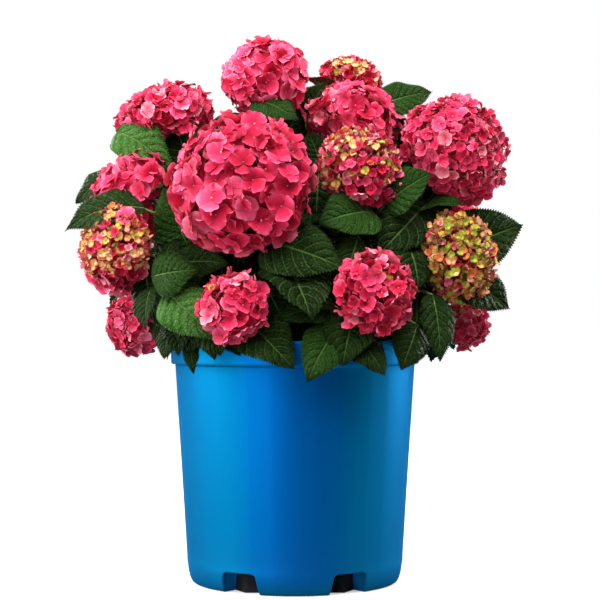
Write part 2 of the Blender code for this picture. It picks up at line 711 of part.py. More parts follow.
class Growth:
    """Keeps what has grown so far, and tells whether a new leaf would touch any of it."""

    def __init__(self):
        self.fixed = []  # (owner, tree, is a head) of each limb, twig and head
        self.blades = []  # (owner, tree, tree of the blade alone) of each leaf
        self.leaves = defaultdict(list)  # the corners of each mass's leaves
        self.pieces = {}  # the (mesh, finish) solids that each mass is fused from
        self.lines = {}  # each twig's (owner, centreline, length at its tip that has no leaves)

    def add_solid(self, mesh, owner, is_head=False):
        """owner is the mass that the solid is fused into, or None."""
        corners = [v.co.copy() for v in mesh.vertices]
        faces = [tuple(p.vertices) for p in mesh.polygons]
        self.fixed.append((owner, BVHTree.FromPolygons(corners, faces), is_head))

    def free(self, shape, owner, may_cross_head=False):
        """True if a leaf, a little swollen, touches nothing but its own mass's twigs."""
        swollen = leaf_corners(*shape, swell=LEAF_CLEARANCE)
        whole = BVHTree.FromPolygons(swollen, leaf_faces())
        blade = BVHTree.FromPolygons(swollen, leaf_faces(2))
        for other, tree, is_head in self.fixed:
            if other != owner and whole.overlap(tree):
                return False
            if other == owner and is_head and not may_cross_head and blade.overlap(tree):
                return False
        for other, tree, other_blade in self.blades:
            if other != owner and whole.overlap(tree):
                return False
            if other == owner and blade.overlap(other_blade):
                return False
        return True

    def add_leaf(self, shape, owner):
        """Keeps a leaf, and gives it to the mass that owns it."""
        corners = leaf_corners(*shape)
        self.leaves[owner].append(corners)
        self.blades.append((owner, BVHTree.FromPolygons(corners, leaf_faces()),
                            BVHTree.FromPolygons(corners, leaf_faces(2))))

    def grow_reachers(self):
        """The leaves whose tips are stated, each shortened until it touches nothing."""
        for leaf in REACHERS:
            owner, line, _ = self.lines[leaf.twig]
            for share in REACHER_SHARES:
                shape = reaching_leaf(line, leaf, share)
                if self.free(shape, owner, may_cross_head=True):
                    self.add_leaf(shape, owner)
                    break

    def grow_pairs(self, rng):
        """Opposite pairs of leaves down each twig, each pair turned a quarter from the last.

        The uppermost pairs of all twigs grow first, then those below.
        """
        longest = max(lengths_along(line)[-1] for _, line, _ in self.lines.values())
        for pair in range(int(longest / PAIR_SPACING) + 1):
            for index, (owner, line, bare) in enumerate(self.lines.values()):
                place = lengths_along(line)[-1] - bare - pair * PAIR_SPACING
                jitter = rng.uniform(-1, 1, (2, 5))
                if place < LOWEST_LEAF:
                    continue
                for side in (0, 1):
                    turn = 50 * index + 90 * pair + 180 * side
                    self.grow_one(owner, *along(line, place), turn, jitter[side])

    def grow_one(self, owner, root, tangent, turn, jitter):
        """Adds the longest leaf that fits, tried straight and then swept aside, or none."""
        aside, up, long, broad, droop = jitter
        rise = math.radians(LEAF_RISE[0] + LEAF_RISE[1] * up)
        length = LEAF_LENGTH * (0.95 + 0.1 * long)
        width = length * LEAF_WIDTH * (1 + 0.07 * broad)
        bend = LEAF_BEND[0] + LEAF_BEND[1] * droop
        for share in PAIR_SHARES:
            for sweep in PAIR_SWEEPS:
                around = math.radians(turn + 10 * aside + sweep)
                shape = paired_leaf(root, tangent, around, rise, length * share, width * share, bend)
                if in_outline(leaf_corners(*shape)) and self.free(shape, owner):
                    self.add_leaf(shape, owner)
                    return


# ---------------------------------------------------------------- the leaf masses
def mass_of(cane):
    """The name of the mass that a cane carries."""
    return "flowering_mass_" + cane.name


def stem_mesh(cane):
    """A mass's stem: it carries on from its cane's tip, and its twigs branch from it."""
    heading = fork_heading(cane)
    base = fork_of(cane) + heading * GAP
    places = [(base, heading), (base + heading * STEM_LENGTH, heading)]
    return tube_mesh("stem", places, [CANE_TIP_RADIUS, CANE_TIP_RADIUS * 0.8], 5)


def twig_mesh(line):
    """A three-sided twig, in four lengths."""
    places = stretch(line, 0.0, lengths_along(line)[-1], 4)
    return tube_mesh("twig", places, tapered(TWIG_BASE_RADIUS, TWIG_TIP_RADIUS, len(places)), 3)


def is_young(head):
    """True for a head that is still partly green."""
    return head.name.endswith(("young", "small"))


def build_cane(cane, direction, growth, finish):
    """A cane, and the stem, twigs and heads of the mass that it carries, which aren't fused yet."""
    solid = cane_mesh(cane, cane_line(cane, direction))
    add_object(solid.name, solid, finish["bark"])
    growth.add_solid(solid, None)
    owner, stem = mass_of(cane), stem_mesh(cane)
    growth.add_solid(stem, owner)
    growth.pieces[owner] = [(stem, finish["leaf"])]
    for head in cane.heads:
        line = twig_line(cane, head)
        twig, bloom = twig_mesh(line), head_mesh(head)
        growth.add_solid(twig, owner)
        growth.add_solid(bloom, owner, is_head=True)
        growth.pieces[owner] += [(twig, finish["leaf"]),
                                 (bloom, finish["young" if is_young(head) else "petal"])]
        bare = head_underside(head) * (1 - TWIG_SINKS) + PEDUNCLE_LENGTH
        growth.lines[head.name] = (owner, line, bare)


def build_shoot(shoot, direction, growth, finish):
    """The twig of a leafy shoot, which isn't fused to its leaves yet."""
    line = shoot_line(shoot, direction)
    twig = twig_mesh(line)
    growth.add_solid(twig, shoot.name)
    growth.pieces[shoot.name] = [(twig, finish["leaf"])]
    growth.lines[shoot.name] = (shoot.name, line, SHOOT_TIP_LENGTH)


def main():
    """Builds the pot, the wood and the masses. Leaves grow once every limb and head is in place."""
    clear_scene()
    finish = finishes()
    growth = Growth()
    for solid in (build_pot(finish["pot"]), build_soil(finish["soil"]), build_crown(finish["bark"])):
        growth.add_solid(solid.data, None)
    directions = crown_directions()
    for cane, direction in zip(CANES, directions):
        build_cane(cane, direction, growth, finish)
    for shoot, direction in zip(SHOOTS, directions[len(CANES):]):
        build_shoot(shoot, direction, growth, finish)
    growth.grow_reachers()
    growth.grow_pairs(np.random.default_rng(7))
    for owner, solids in growth.pieces.items():
        leaves = growth.leaves[owner]
        print(owner, len(leaves), "leaves")
        fuse(owner, solids + [(leaf_mesh(corners), finish["leaf"]) for corners in leaves])


main()
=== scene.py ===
# %% [markdown]
# # A bigleaf hydrangea in its nursery pot
#
# A young hydrangea is sold in bloom: ten canes rise from a woody crown in a plastic pot and fork
# into twigs, and each twig ends in a ball of florets as large as a fist. What makes it look real
# is number and order: thousands of petals in fours, hundreds of leaves in crossed pairs. Every
# surface here is a formula on a grid, which numpy works out for all leaves or petals at once.
# Lengths in tables are millimetres, and everything else is metres, with +Z up and -Y the front.

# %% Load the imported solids
from collections import namedtuple
from math import acos, ceil, cos, hypot, pi, radians, sin, sqrt, tan, tau

import bmesh
import bpy
import numpy as np
from mathutils import Matrix, Vector
from mathutils.bvhtree import BVHTree


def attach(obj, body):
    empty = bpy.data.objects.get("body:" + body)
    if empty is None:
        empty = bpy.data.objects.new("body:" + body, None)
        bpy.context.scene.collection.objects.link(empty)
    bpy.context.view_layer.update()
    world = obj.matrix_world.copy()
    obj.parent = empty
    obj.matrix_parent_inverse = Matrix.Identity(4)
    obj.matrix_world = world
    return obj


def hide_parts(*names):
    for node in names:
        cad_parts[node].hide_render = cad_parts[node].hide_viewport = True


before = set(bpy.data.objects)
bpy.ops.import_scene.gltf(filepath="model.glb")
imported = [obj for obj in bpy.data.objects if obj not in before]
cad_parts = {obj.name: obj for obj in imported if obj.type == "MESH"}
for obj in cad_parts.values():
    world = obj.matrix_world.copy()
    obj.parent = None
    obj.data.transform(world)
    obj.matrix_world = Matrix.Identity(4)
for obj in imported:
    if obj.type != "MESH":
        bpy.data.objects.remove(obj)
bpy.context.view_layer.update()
MM = 0.001

# %% [markdown]
# ## The plan of the plant
#
# Nearly the same tables as in the solids say where everything is. A cane ends in a fork and
# carries one to three flower heads, and a shoot has leaves alone. A bearing is in degrees round the
# pot from the front, positive to the right, and a reach is a distance from the pot's axis. wide and
# tall are a head's radius across and along its stalk, and nod is how far its face leans.

# %% The pot's and the plant's sizes
POT_HEIGHT = 218 * MM
RIM_RADIUS = 113.2 * MM
RIM_BAND_HEIGHT = 22 * MM
RIM_FLARE = 0.9 * MM
BODY_TOP_RADIUS = 108.7 * MM
BODY_FOOT_RADIUS = 97.8 * MM
FOOT_ROUNDING_HEIGHT = 23 * MM
FOOT_RADIUS = 91.5 * MM
WALL = 2.2 * MM
NOTCH_COUNT = 6
NOTCH_HEIGHT = 18 * MM
NOTCH_TOP_WIDTH = 30 * MM
NOTCH_FOOT_WIDTH = 36 * MM
NOTCH_DEPTH = 16 * MM

GAP = 0.3 * MM
SOIL_TOP = 188 * MM
CROWN_RADIUS = 27 * MM
CROWN_FLARE = 1.22
LEAST_ANGLE = 18
LOWEST_ANGLE = 20
CANE_BASE_RADIUS = 3.8 * MM
CANE_TIP_RADIUS = 2.8 * MM
STEM_LENGTH = 9 * MM
TWIG_FORK = 6.3 * MM
TWIG_BASE_RADIUS = 2.3 * MM
TWIG_TIP_RADIUS = 1.9 * MM
PETIOLE_RADIUS = 1.3 * MM
PETIOLE_SHARE = 0.17
LEAF_LENGTH = 96 * MM
LEAF_WIDTH = 0.60
LEAF_THICKNESS = 1.8 * MM
LEAF_FOLD = 0.14
LEAF_CLEARANCE = 0.8 * MM
PAIR_SPACING = 24 * MM
PEDUNCLE_LENGTH = 16 * MM
SHOOT_TIP_LENGTH = 3 * MM
LOWEST_LEAF = 4 * MM
REACHER_SHARES = (1.0, 0.96, 0.92, 0.88, 0.82, 0.76)
PAIR_SHARES = (1.0, 0.87, 0.75, 0.63, 0.52)
PAIR_SWEEPS = (0, 20, -20, 40, -40)
LEAF_RISE = (24, 12)
LEAF_BEND = (48, 14)
TWIG_SINKS = 0.4
HEAD_UNDERSIDE = 0.78
LEAF_SECTIONS = ((0.0, 0.0), (PETIOLE_SHARE, 0.0), (0.42, 1.0), (0.74, 0.66))

OUTLINE_REACH = 198 * MM
OUTLINE_FOOT = 194 * MM
OUTLINE_WAIST = 290 * MM
OUTLINE_RISE = 185 * MM

# %% The canes, the shoots and the leaves whose tips are stated
Head = namedtuple("Head", "name bearing reach height wide tall nod")
Cane = namedtuple("Cane", "name bearing reach height heads")
Shoot = namedtuple("Shoot", "name bearing reach height lean")
Reacher = namedtuple("Reacher", "twig back tip width bend face")

CANES = [Cane(*row, [Head(*head) for head in heads]) for *row, heads in (
    ("front_left", -20, 42, 262, (
        ("front_large", -24, 109, 350, 64, 60, 62),
        ("low_front_left", -22, 137, 247, 30, 28, 84),
    )),
    ("left", -78, 72, 248, (
        ("left_young", -69, 165, 298, 40, 33, 82),
        ("low_left", -83, 150, 233, 29, 27, 96),
    )),
    ("upper_left", -100, 58, 312, (
        ("upper_left", -100, 121, 428, 46, 30, 14),
        ("left", -83, 152, 363, 36, 29, 42),
    )),
    ("top", -66, 14, 338, (
        ("top", -66, 27, 460, 42, 34, 8),
    )),
    ("upper_middle", 96, 36, 325, (
        ("upper_middle", 92, 54, 419, 43, 33, 16),
        ("top_small", 138, 78, 465, 29, 21, 18),
    )),
    ("front_right", 38, 46, 262, (
        ("middle_young", 41, 86, 368, 38, 36, 58),
        ("low_front_right", 30, 135, 258, 38, 34, 84),
    )),
    ("right", 78, 70, 266, (
        ("right", 78, 148, 385, 49, 48, 48),
        ("right_young", 67, 154, 290, 41, 33, 80),
        ("low_right", 87, 158, 229, 25, 22, 92),
    )),
    ("back_right", 136, 66, 282, (
        ("back_high_right", 152, 124, 366, 46, 40, 46),
        ("back_right", 112, 152, 316, 40, 34, 74),
        ("back_low_right", 141, 150, 254, 36, 32, 86),
    )),
    ("back_middle", 179, 46, 292, (
        ("back_top", 176, 64, 424, 40, 32, 14),
        ("back_middle", 178, 152, 292, 42, 36, 80),
    )),
    ("back_left", -136, 66, 284, (
        ("back_high_left", -150, 128, 374, 46, 40, 46),
        ("back_left", -113, 154, 316, 40, 34, 74),
        ("back_low_left", -143, 150, 254, 37, 32, 86),
    )),
)]

SHOOTS = [Shoot(*row) for row in (
    ("leafy_shoot_front_left", -54, 142, 268, 62),
    ("leafy_shoot_front", -11, 74, 289, 50),
    ("leafy_shoot_front_right", 63, 109, 334, 38),
    ("leafy_shoot_right", 94, 132, 322, 50),
    ("leafy_shoot_back", 181, 98, 346, 40),
    ("leafy_shoot_left", -96, 128, 302, 55),
    ("rim_shoot_front", 3, 104, 239, 84),
    ("rim_shoot_front_right", 52, 116, 238, 84),
    ("rim_shoot_right", 108, 120, 240, 84),
    ("rim_shoot_back_right", 161, 118, 238, 84),
    ("rim_shoot_back_left", -161, 118, 238, 84),
    ("rim_shoot_left", -108, 120, 240, 84),
    ("rim_shoot_front_left", -48, 114, 238, 84),
)]

Shown = namedtuple("Shown", "base tip width bend face tint")
# A blade from its base to its tip, its width, the degrees that its midrib bends through, the
# bearing and nod of the direction that its face looks in, and its tint, from 0, dark, to 3, fresh.
# A tint is partly painted light and shade: a leaf in shade has a darker one, a lit leaf a lighter
# one.
SHOWN = [Shown(*row) for row in (
    # the left side
    ((-160, 4, 400), (-110, -12, 368), 46, 110, (-24, 52), 3),
    ((-90, 2, 362), (-110, 14, 414), 60, 30, (-5, 78), 0),
    ((-158, -4, 370), (-197, -12, 340), 36, 40, (-40, 60), 1),
    ((-133, -56, 328), (-201, -62, 316), 46, 70, (-30, 50), 1),
    ((-92, -50, 298), (-112, -60, 352), 46, 30, (-22, 74), 2),
    ((-100, -72, 283), (-56, -104, 285), 40, 45, (-20, 70), 1),
    ((-120, -98, 272), (-82, -114, 279), 42, 35, (-24, 74), 2),
    ((-108, -96, 257), (-65, -122, 218), 46, 45, (-12, 66), 3),
    ((-122, -82, 262), (-126, -98, 227), 30, 40, (-50, 62), 1),
    ((-104, -90, 231), (-110, -104, 203), 27, 40, (-32, 58), 1),
    ((-88, -98, 218), (-84, -110, 191), 15, 45, (-20, 66), 1),
    ((-76, -100, 232), (-66, -122, 203), 24, 45, (-10, 60), 1),
    ((-130, -46, 288), (-120, -62, 232), 40, 40, (-30, 70), 0),
    ((-96, -88, 236), (-98, -109, 206), 28, 40, (-30, 60), 0),
    ((-68, -100, 238), (-62, -123, 206), 38, 40, (-18, 60), 1),
    ((-92, -66, 246), (-112, -92, 212), 38, 45, (-32, 56), 0),
    ((-88, -84, 240), (-84, -112, 208), 36, 45, (-24, 58), 0),
    ((-58, -92, 240), (-46, -122, 206), 40, 45, (-16, 58), 0),
    # the middle
    ((-44, -100, 236), (-2, -128, 194), 50, 45, (-12, 56), 1),
    ((-26, -88, 300), (41, -118, 277), 58, 45, (4, 66), 1),
    ((66, -74, 326), (22, -102, 316), 52, 55, (0, 60), 2),
    ((54, -86, 306), (41, -102, 266), 29, 40, (12, 64), 1),
    ((38, -104, 229), (8, -130, 186), 42, 45, (-2, 60), 2),
    ((-10, -94, 262), (35, -118, 240), 40, 75, (8, 40), 1),
    ((31, -102, 243), (-14, -118, 237), 30, 40, (0, 50), 1),
    ((50, -100, 240), (38, -127, 198), 44, 50, (4, 58), 1),
    ((48, -102, 219), (77, -124, 190), 34, 45, (18, 56), 1),
    ((-30, -84, 268), (-6, -112, 226), 44, 50, (-5, 50), 0),
    ((22, -14, 372), (16, -46, 314), 44, 30, (0, 74), 0),
    # the right side
    ((116, -42, 336), (74, -88, 288), 52, 40, (20, 52), 0),
    ((82, -62, 336), (119, -78, 361), 42, 55, (15, 60), 2),
    ((86, -28, 352), (88, -38, 403), 22, 25, (84, 80), 1),
    ((92, 0, 352), (99, 8, 408), 44, 30, (8, 76), 0),
    ((114, -48, 328), (144, -72, 335), 30, 60, (24, 42), 2),
    ((134, -44, 297), (205, -22, 317), 56, 30, (14, 78), 1),
    ((134, -62, 278), (188, -44, 243), 48, 35, (16, 62), 1),
    ((117, -84, 256), (121, -104, 201), 33, 40, (26, 60), 1),
    ((104, -90, 230), (88, -110, 195), 35, 45, (28, 56), 1),
    ((96, -66, 300), (106, -98, 262), 44, 45, (25, 56), 0),
    ((112, -8, 336), (146, -20, 374), 42, 40, (30, 66), 0),
    # the top
    ((76, 2, 430), (126, 14, 445), 37, 30, (12, 58), 2),
    ((84, 4, 414), (107, -2, 409), 24, 40, (20, 56), 0),
    ((-36, -26, 431), (3, -48, 412), 37, 40, (0, 54), 2),
    ((12, 2, 424), (27, -4, 452), 28, 35, (0, 62), 1),
    ((-14, 6, 384), (2, 10, 430), 40, 30, (0, 74), 0),
    ((24, -24, 372), (14, -30, 404), 34, 30, (0, 74), 0),
    ((-68, -4, 408), (-92, -28, 382), 36, 45, (-20, 60), 0),
)]

# The twig that a leaf grows on, how far back from the twig's end, its tip, width and bend, and
# where its face looks.
REACHERS = [Reacher(*row) for row in (
    ("leafy_shoot_back", 3, (0, 172, 352), 32, 40, (180, 30)),
    ("back_top", 44, (-4, 132, 402), 46, 40, (180, 30)),
    ("rim_shoot_back_left", 4, (-40, 122, 190), 44, 55, (-160, 50)),
    ("rim_shoot_back_right", 4, (44, 124, 192), 44, 55, (160, 50)),
    ("rim_shoot_left", 4, (-118, 44, 203), 42, 55, (-100, 50)),
    ("rim_shoot_right", 4, (128, 42, 196), 42, 55, (100, 50)),
)]

# %% [markdown]
# ## Directions and curves
#
# A plant is easier to describe from its middle than in x, y and z: which way round, how far out,
# how high. Limbs are cubic Bezier curves, because their two inner corners say directly in which
# direction a limb leaves one place and arrives at the next.

# %% Places round the pot, and lines through space
def spot(bearing, reach, height):
    """The point at a bearing in degrees, and at a reach and height in metres."""
    turn = radians(bearing)
    return Vector((reach * sin(turn), -reach * cos(turn), height))


def facing(bearing, nod):
    """The unit vector that leans nod degrees from upright towards a bearing."""
    lean = radians(nod)
    return spot(bearing, sin(lean), cos(lean))


def bezier(corners, count):
    """count + 1 points of the cubic Bezier curve with these four corners."""
    points = []
    for step in range(count + 1):
        t = step / count
        weights = ((1 - t) ** 3, 3 * t * (1 - t) ** 2, 3 * t * t * (1 - t), t**3)
        points.append(sum((w * c for w, c in zip(weights, corners)), Vector()))
    return points


def lengths_along(points):
    """The distance of each point from the first, measured along the line."""
    run = [0.0]
    for before, after in zip(points, points[1:]):
        run.append(run[-1] + (after - before).length)
    return run


def along(points, distance):
    """The point and the direction at a distance along a line of points."""
    run = lengths_along(points)
    distance = min(max(distance, 0.0), run[-1])
    for start, end, before, after in zip(points, points[1:], run, run[1:]):
        if distance <= after:
            share = (distance - before) / max(after - before, 1e-9)
            return start.lerp(end, share), (end - start).normalized()
    return points[-1].copy(), (points[-1] - points[-2]).normalized()


def stretch(points, start, end, count):
    """count + 1 places, each a point and a direction, spread evenly between two distances."""
    return [along(points, start + (end - start) * i / count) for i in range(count + 1)]


# %% [markdown]
# ## The skeleton
#
# Hydrangea canes leave the crown crowded together and then draw apart, so the directions in which
# they leave it are pushed away from each other until each has room. From its fork, a twig bends
# round to stand square under its flower head.

# %% The crown, the canes and the twigs as lines
CROWN_CENTRE = Vector((0.0, 0.0, SOIL_TOP + GAP))


def spread_apart(directions):
    """Pushes directions apart until nearly none stand closer than the least angle."""
    least = radians(LEAST_ANGLE)
    lowest = sin(radians(LOWEST_ANGLE))
    moved = [d.normalized() for d in directions]
    for _ in range(80):
        for i, first in enumerate(moved):
            for j in range(i):
                second = moved[j]
                angle = first.angle(second, 0.0)
                if angle < least:
                    apart = (first - second).normalized() * (least - angle) / 2
                    first = (first + apart).normalized()
                    moved[j] = (second - apart).normalized()
            first.z = max(first.z, lowest)
            moved[i] = first.normalized()
    return moved


def fork_of(cane):
    """Where a cane ends, and its twigs begin."""
    return spot(cane.bearing, cane.reach * MM, cane.height * MM)


def head_centre(head):
    """The middle of a flower head."""
    return spot(head.bearing, head.reach * MM, head.height * MM)


def head_underside(head):
    """How far below its centre, along its stalk, a head's underside lies."""
    return head.tall * MM * HEAD_UNDERSIDE


def head_frame(head):
    """The matrix that carries a head from its own axes, with +Z along its stalk, into place."""
    turn = facing(head.bearing, head.nod).to_track_quat("Z", "Y").to_matrix().to_4x4()
    return Matrix.Translation(head_centre(head)) @ turn


def fork_heading(cane):
    """The direction of a cane at its fork: up, and towards its heads."""
    heading = Vector()
    for head in cane.heads:
        heading += (head_centre(head) - fork_of(cane)).normalized()
    return (heading.normalized() + Vector((0, 0, 0.5))).normalized()


def crown_directions():
    """The directions in which the canes and then the leafy shoots leave the crown."""
    aims = [fork_of(cane) - CROWN_CENTRE for cane in CANES]
    aims += [facing(shoot.bearing, shoot.lean * 0.75) for shoot in SHOOTS]
    return spread_apart(aims)


def limb(start, leaving, end, arriving, shares, count):
    """A curve between two points in two directions. shares of its span place its corners."""
    span = (end - start).length
    return bezier((start, start + leaving * span * shares[0],
                   end - arriving * span * shares[1], end), count)


def cane_line(cane, direction):
    """The centreline of a cane, from the middle of the crown to its fork."""
    return limb(CROWN_CENTRE, direction, fork_of(cane), fork_heading(cane), (0.45, 0.3), 32)


def twig_line(cane, head):
    """The centreline of a twig, from the stem at the fork to the inside of its flower head."""
    heading, up = fork_heading(cane), facing(head.bearing, head.nod)
    end = head_centre(head) - up * head_underside(head) * TWIG_SINKS
    return limb(fork_of(cane) + heading * TWIG_FORK, heading, end, up, (0.3, 0.45), 24)


def shoot_line(shoot, direction):
    """The centreline of a leafy shoot, which arches from the crown's surface out to its tip."""
    tip = spot(shoot.bearing, shoot.reach * MM, shoot.height * MM)
    whole = limb(CROWN_CENTRE, direction, tip, facing(shoot.bearing, shoot.lean), (0.4, 0.35), 32)
    run = stretch(whole, CROWN_RADIUS + GAP, lengths_along(whole)[-1], 24)
    return [point for point, _ in run]


DIRECTIONS = crown_directions()
CANE_LINES = {c.name: cane_line(c, d) for c, d in zip(CANES, DIRECTIONS)}
TWIG_LINES = {h.name: twig_line(c, h) for c in CANES for h in c.heads}
SHOOT_LINES = {s.name: shoot_line(s, d) for s, d in zip(SHOOTS, DIRECTIONS[len(CANES):])}
print(len(CANE_LINES), "canes,", len(TWIG_LINES), "flowering twigs,", len(SHOOT_LINES), "shoots")

# %% [markdown]
# ## Where the leaves grow
#
# Leaves stand in opposite pairs, each pair turned a quarter from the last, and a leaf in a crowd
# grows only as long as it finds room. So each leaf is tried at full length and then shorter, a
# little to one side and then to the other, against simple closed solids of all that has grown
# before it. A tree of bounding boxes makes each test quick.

# %% Simple solids to test against
def tube_solid(places, radii, sides):
    """Corners and faces of a closed tube with flat ends through (point, direction) places."""
    side = places[0][1].orthogonal().normalized()
    corners, faces = [], [tuple(range(sides))[::-1]]
    for (centre, ahead), radius in zip(places, radii):
        side = (side - ahead * side.dot(ahead)).normalized()
        other = ahead.cross(side)
        for k in range(sides):
            turn = tau * k / sides
            corners.append(centre + radius * (side * cos(turn) + other * sin(turn)))
    for ring in range(len(places) - 1):
        for k in range(sides):
            low, nxt = ring * sides + k, ring * sides + (k + 1) % sides
            faces.append((low, nxt, nxt + sides, low + sides))
    top = (len(places) - 1) * sides
    faces.append(tuple(range(top, top + sides)))
    return corners, faces


def ball_solid(head):
    """Corners and faces of a flower head's plain oval, a little inside its bosses."""
    bm = bmesh.new()
    bmesh.ops.create_icosphere(bm, subdivisions=2, radius=1.0)
    for corner in bm.verts:
        depth = head.tall * MM if corner.co.z > 0 else head_underside(head)
        corner.co.x *= head.wide * MM
        corner.co.y *= head.wide * MM
        corner.co.z *= depth
    bmesh.ops.transform(bm, matrix=head_frame(head), verts=bm.verts)
    bm.verts.index_update()
    corners = [v.co.copy() for v in bm.verts]
    faces = [tuple(v.index for v in f.verts) for f in bm.faces]
    bm.free()
    return corners, faces


def arc_place(shape, share):
    """A midrib's point at a share of its length, and the upward and forward directions there.

    The midrib is an arc that starts along heading and turns away from face by bend degrees.
    """
    root, heading, face, length, _, bend = shape
    angle, radius = radians(bend) * share, length / radians(bend)
    centre = root + heading * radius * sin(angle) - face * radius * (1 - cos(angle))
    return (centre, face * cos(angle) + heading * sin(angle),
            heading * cos(angle) - face * sin(angle))


def leaf_corners(shape, swell=0.0):
    """The corners of a leaf's simple solid: each section's two edges and keel, then the tip."""
    _, heading, face, _, width, _ = shape
    side = heading.cross(face)
    corners = []
    for share, spread in LEAF_SECTIONS:
        centre, up, _ = arc_place(shape, share)
        half = max(spread * width / 2, PETIOLE_RADIUS) + swell
        keel = (LEAF_THICKNESS if spread else PETIOLE_RADIUS) + swell
        lift = LEAF_FOLD * half * bool(spread) + swell
        corners += [centre - side * half + up * lift, centre + side * half + up * lift,
                    centre - up * keel]
    tip, _, ahead = arc_place(shape, 1.0)
    return corners + [tip + ahead * swell]


def leaf_faces(first_section=0):
    """The triangles of a leaf's simple solid, as triples of its corners."""
    last = len(LEAF_SECTIONS) - 1
    low = 3 * first_section
    faces = [(low, low + 1, low + 2)]
    for section in range(first_section, last):
        low = 3 * section
        for k in range(3):
            nxt = (k + 1) % 3
            faces += [(low + k, low + 3 + k, low + 3 + nxt), (low + k, low + 3 + nxt, low + nxt)]
    low, tip = 3 * last, 3 * last + 3
    faces += [(low + k, tip, low + (k + 1) % 3) for k in range(3)]
    return faces


# %% The shape of one leaf, and the outline that it keeps to
BROADEST = 0.75  # the greatest width of a leaf that reaches for its tip, in its lengths
FACE_LEAN = 0.35  # how far a paired leaf's face leans outwards and along its twig


def square_on(face, heading):
    """The part of face that stands square to heading, as a unit vector."""
    return (face - heading * face.dot(heading)).normalized()


def arched_leaf(root, chord, leaf):
    """Root, heading, face and length of a leaf whose midrib arches over a chord from its root."""
    across = chord.normalized()
    face = square_on(facing(*leaf.face), across)
    half = radians(leaf.bend / 2)
    heading = (across * cos(half) + face * sin(half)).normalized()
    return root, heading, square_on(face, heading), chord.length * half / sin(half)


def reaching_leaf(line, leaf, share):
    """The shape of a leaf that reaches for a stated tip, or for a share of the way to it."""
    root, _ = along(line, lengths_along(line)[-1] - leaf.back * MM)
    arch = arched_leaf(root, (Vector(leaf.tip) * MM - root) * share, leaf)
    return *arch, min(leaf.width * MM, BROADEST * arch[-1]), leaf.bend


def shown_leaf(leaf):
    """The shape of a leaf whose blade is stated from its base to its tip."""
    base, tip = Vector(leaf.base) * MM, Vector(leaf.tip) * MM
    root = base - (tip - base) * PETIOLE_SHARE / (1 - PETIOLE_SHARE)
    return *arched_leaf(root, tip - root, leaf), leaf.width * MM, leaf.bend


def paired_leaf(root, tangent, turn, rise, length, width, bend):
    """The shape of a leaf that stands out from its twig, and looks mostly upwards."""
    side = Matrix.Rotation(turn, 3, tangent) @ tangent.orthogonal().normalized()
    heading = (side * cos(rise) + tangent * sin(rise)).normalized()
    outward = Vector((heading.x, heading.y, 0.0))
    face = Vector((0, 0, 1.0)) + (tangent + outward) * FACE_LEAN
    return root, heading, square_on(face, heading), length, width, bend


def outwardness(point):
    """How far out in the crown a point is: 0 on its axis, 1 on its outline, and more beyond it.

    The outline is an upright wall with half an oval on it.
    """
    rise = max(0.0, point.z - OUTLINE_WAIST) / OUTLINE_RISE
    return hypot(hypot(point.x, point.y) / OUTLINE_REACH, rise)


def in_outline(corners):
    """True if every corner is in the crown's outline, and none hangs below its foot."""
    return all(c.z >= OUTLINE_FOOT and outwardness(c) <= 1 for c in corners)


# %% The growth itself
BARE_SPOT = Vector((-143, -45, 202)) * MM  # under the lowest head on the left
BARE_REACH, BARE_DEPTH = 21 * MM, 80 * MM  # no grown tip is this near it, unless this far behind
HIDING_SHARES = (0.35, 0.55, 0.75, 1.0)  # the points of a midrib that are tested
KEPT_CLEAR = 0.8  # the share of a head's width that no grown leaf may hang in front of
BACK_HEADS = 70 * MM  # heads further back than this are seen from behind
LENGTHS = (0.95, 0.1)  # a grown leaf's mean length, in LEAF_LENGTH, and its range
BROADENS, SWINGS = 0.07, 10  # the ranges of its width, and of the degrees it is turned aside
HEADS = [head for cane in CANES for head in cane.heads]
HEAD_CENTRES = np.array([head_centre(head)[:] for head in HEADS])
HEAD_WIDTHS = np.array([head.wide * MM * KEPT_CLEAR for head in HEADS])
HEAD_SIDES = np.where(HEAD_CENTRES[:, 1:2] > BACK_HEADS, (1, -1, 1), (1, 1, 1))


def in_bare_spot(shape):
    """True if a leaf's tip would hang in the bare spot."""
    off = arc_place(shape, 1.0)[0] - BARE_SPOT
    return hypot(off.x, off.z) < BARE_REACH and off.y < BARE_DEPTH


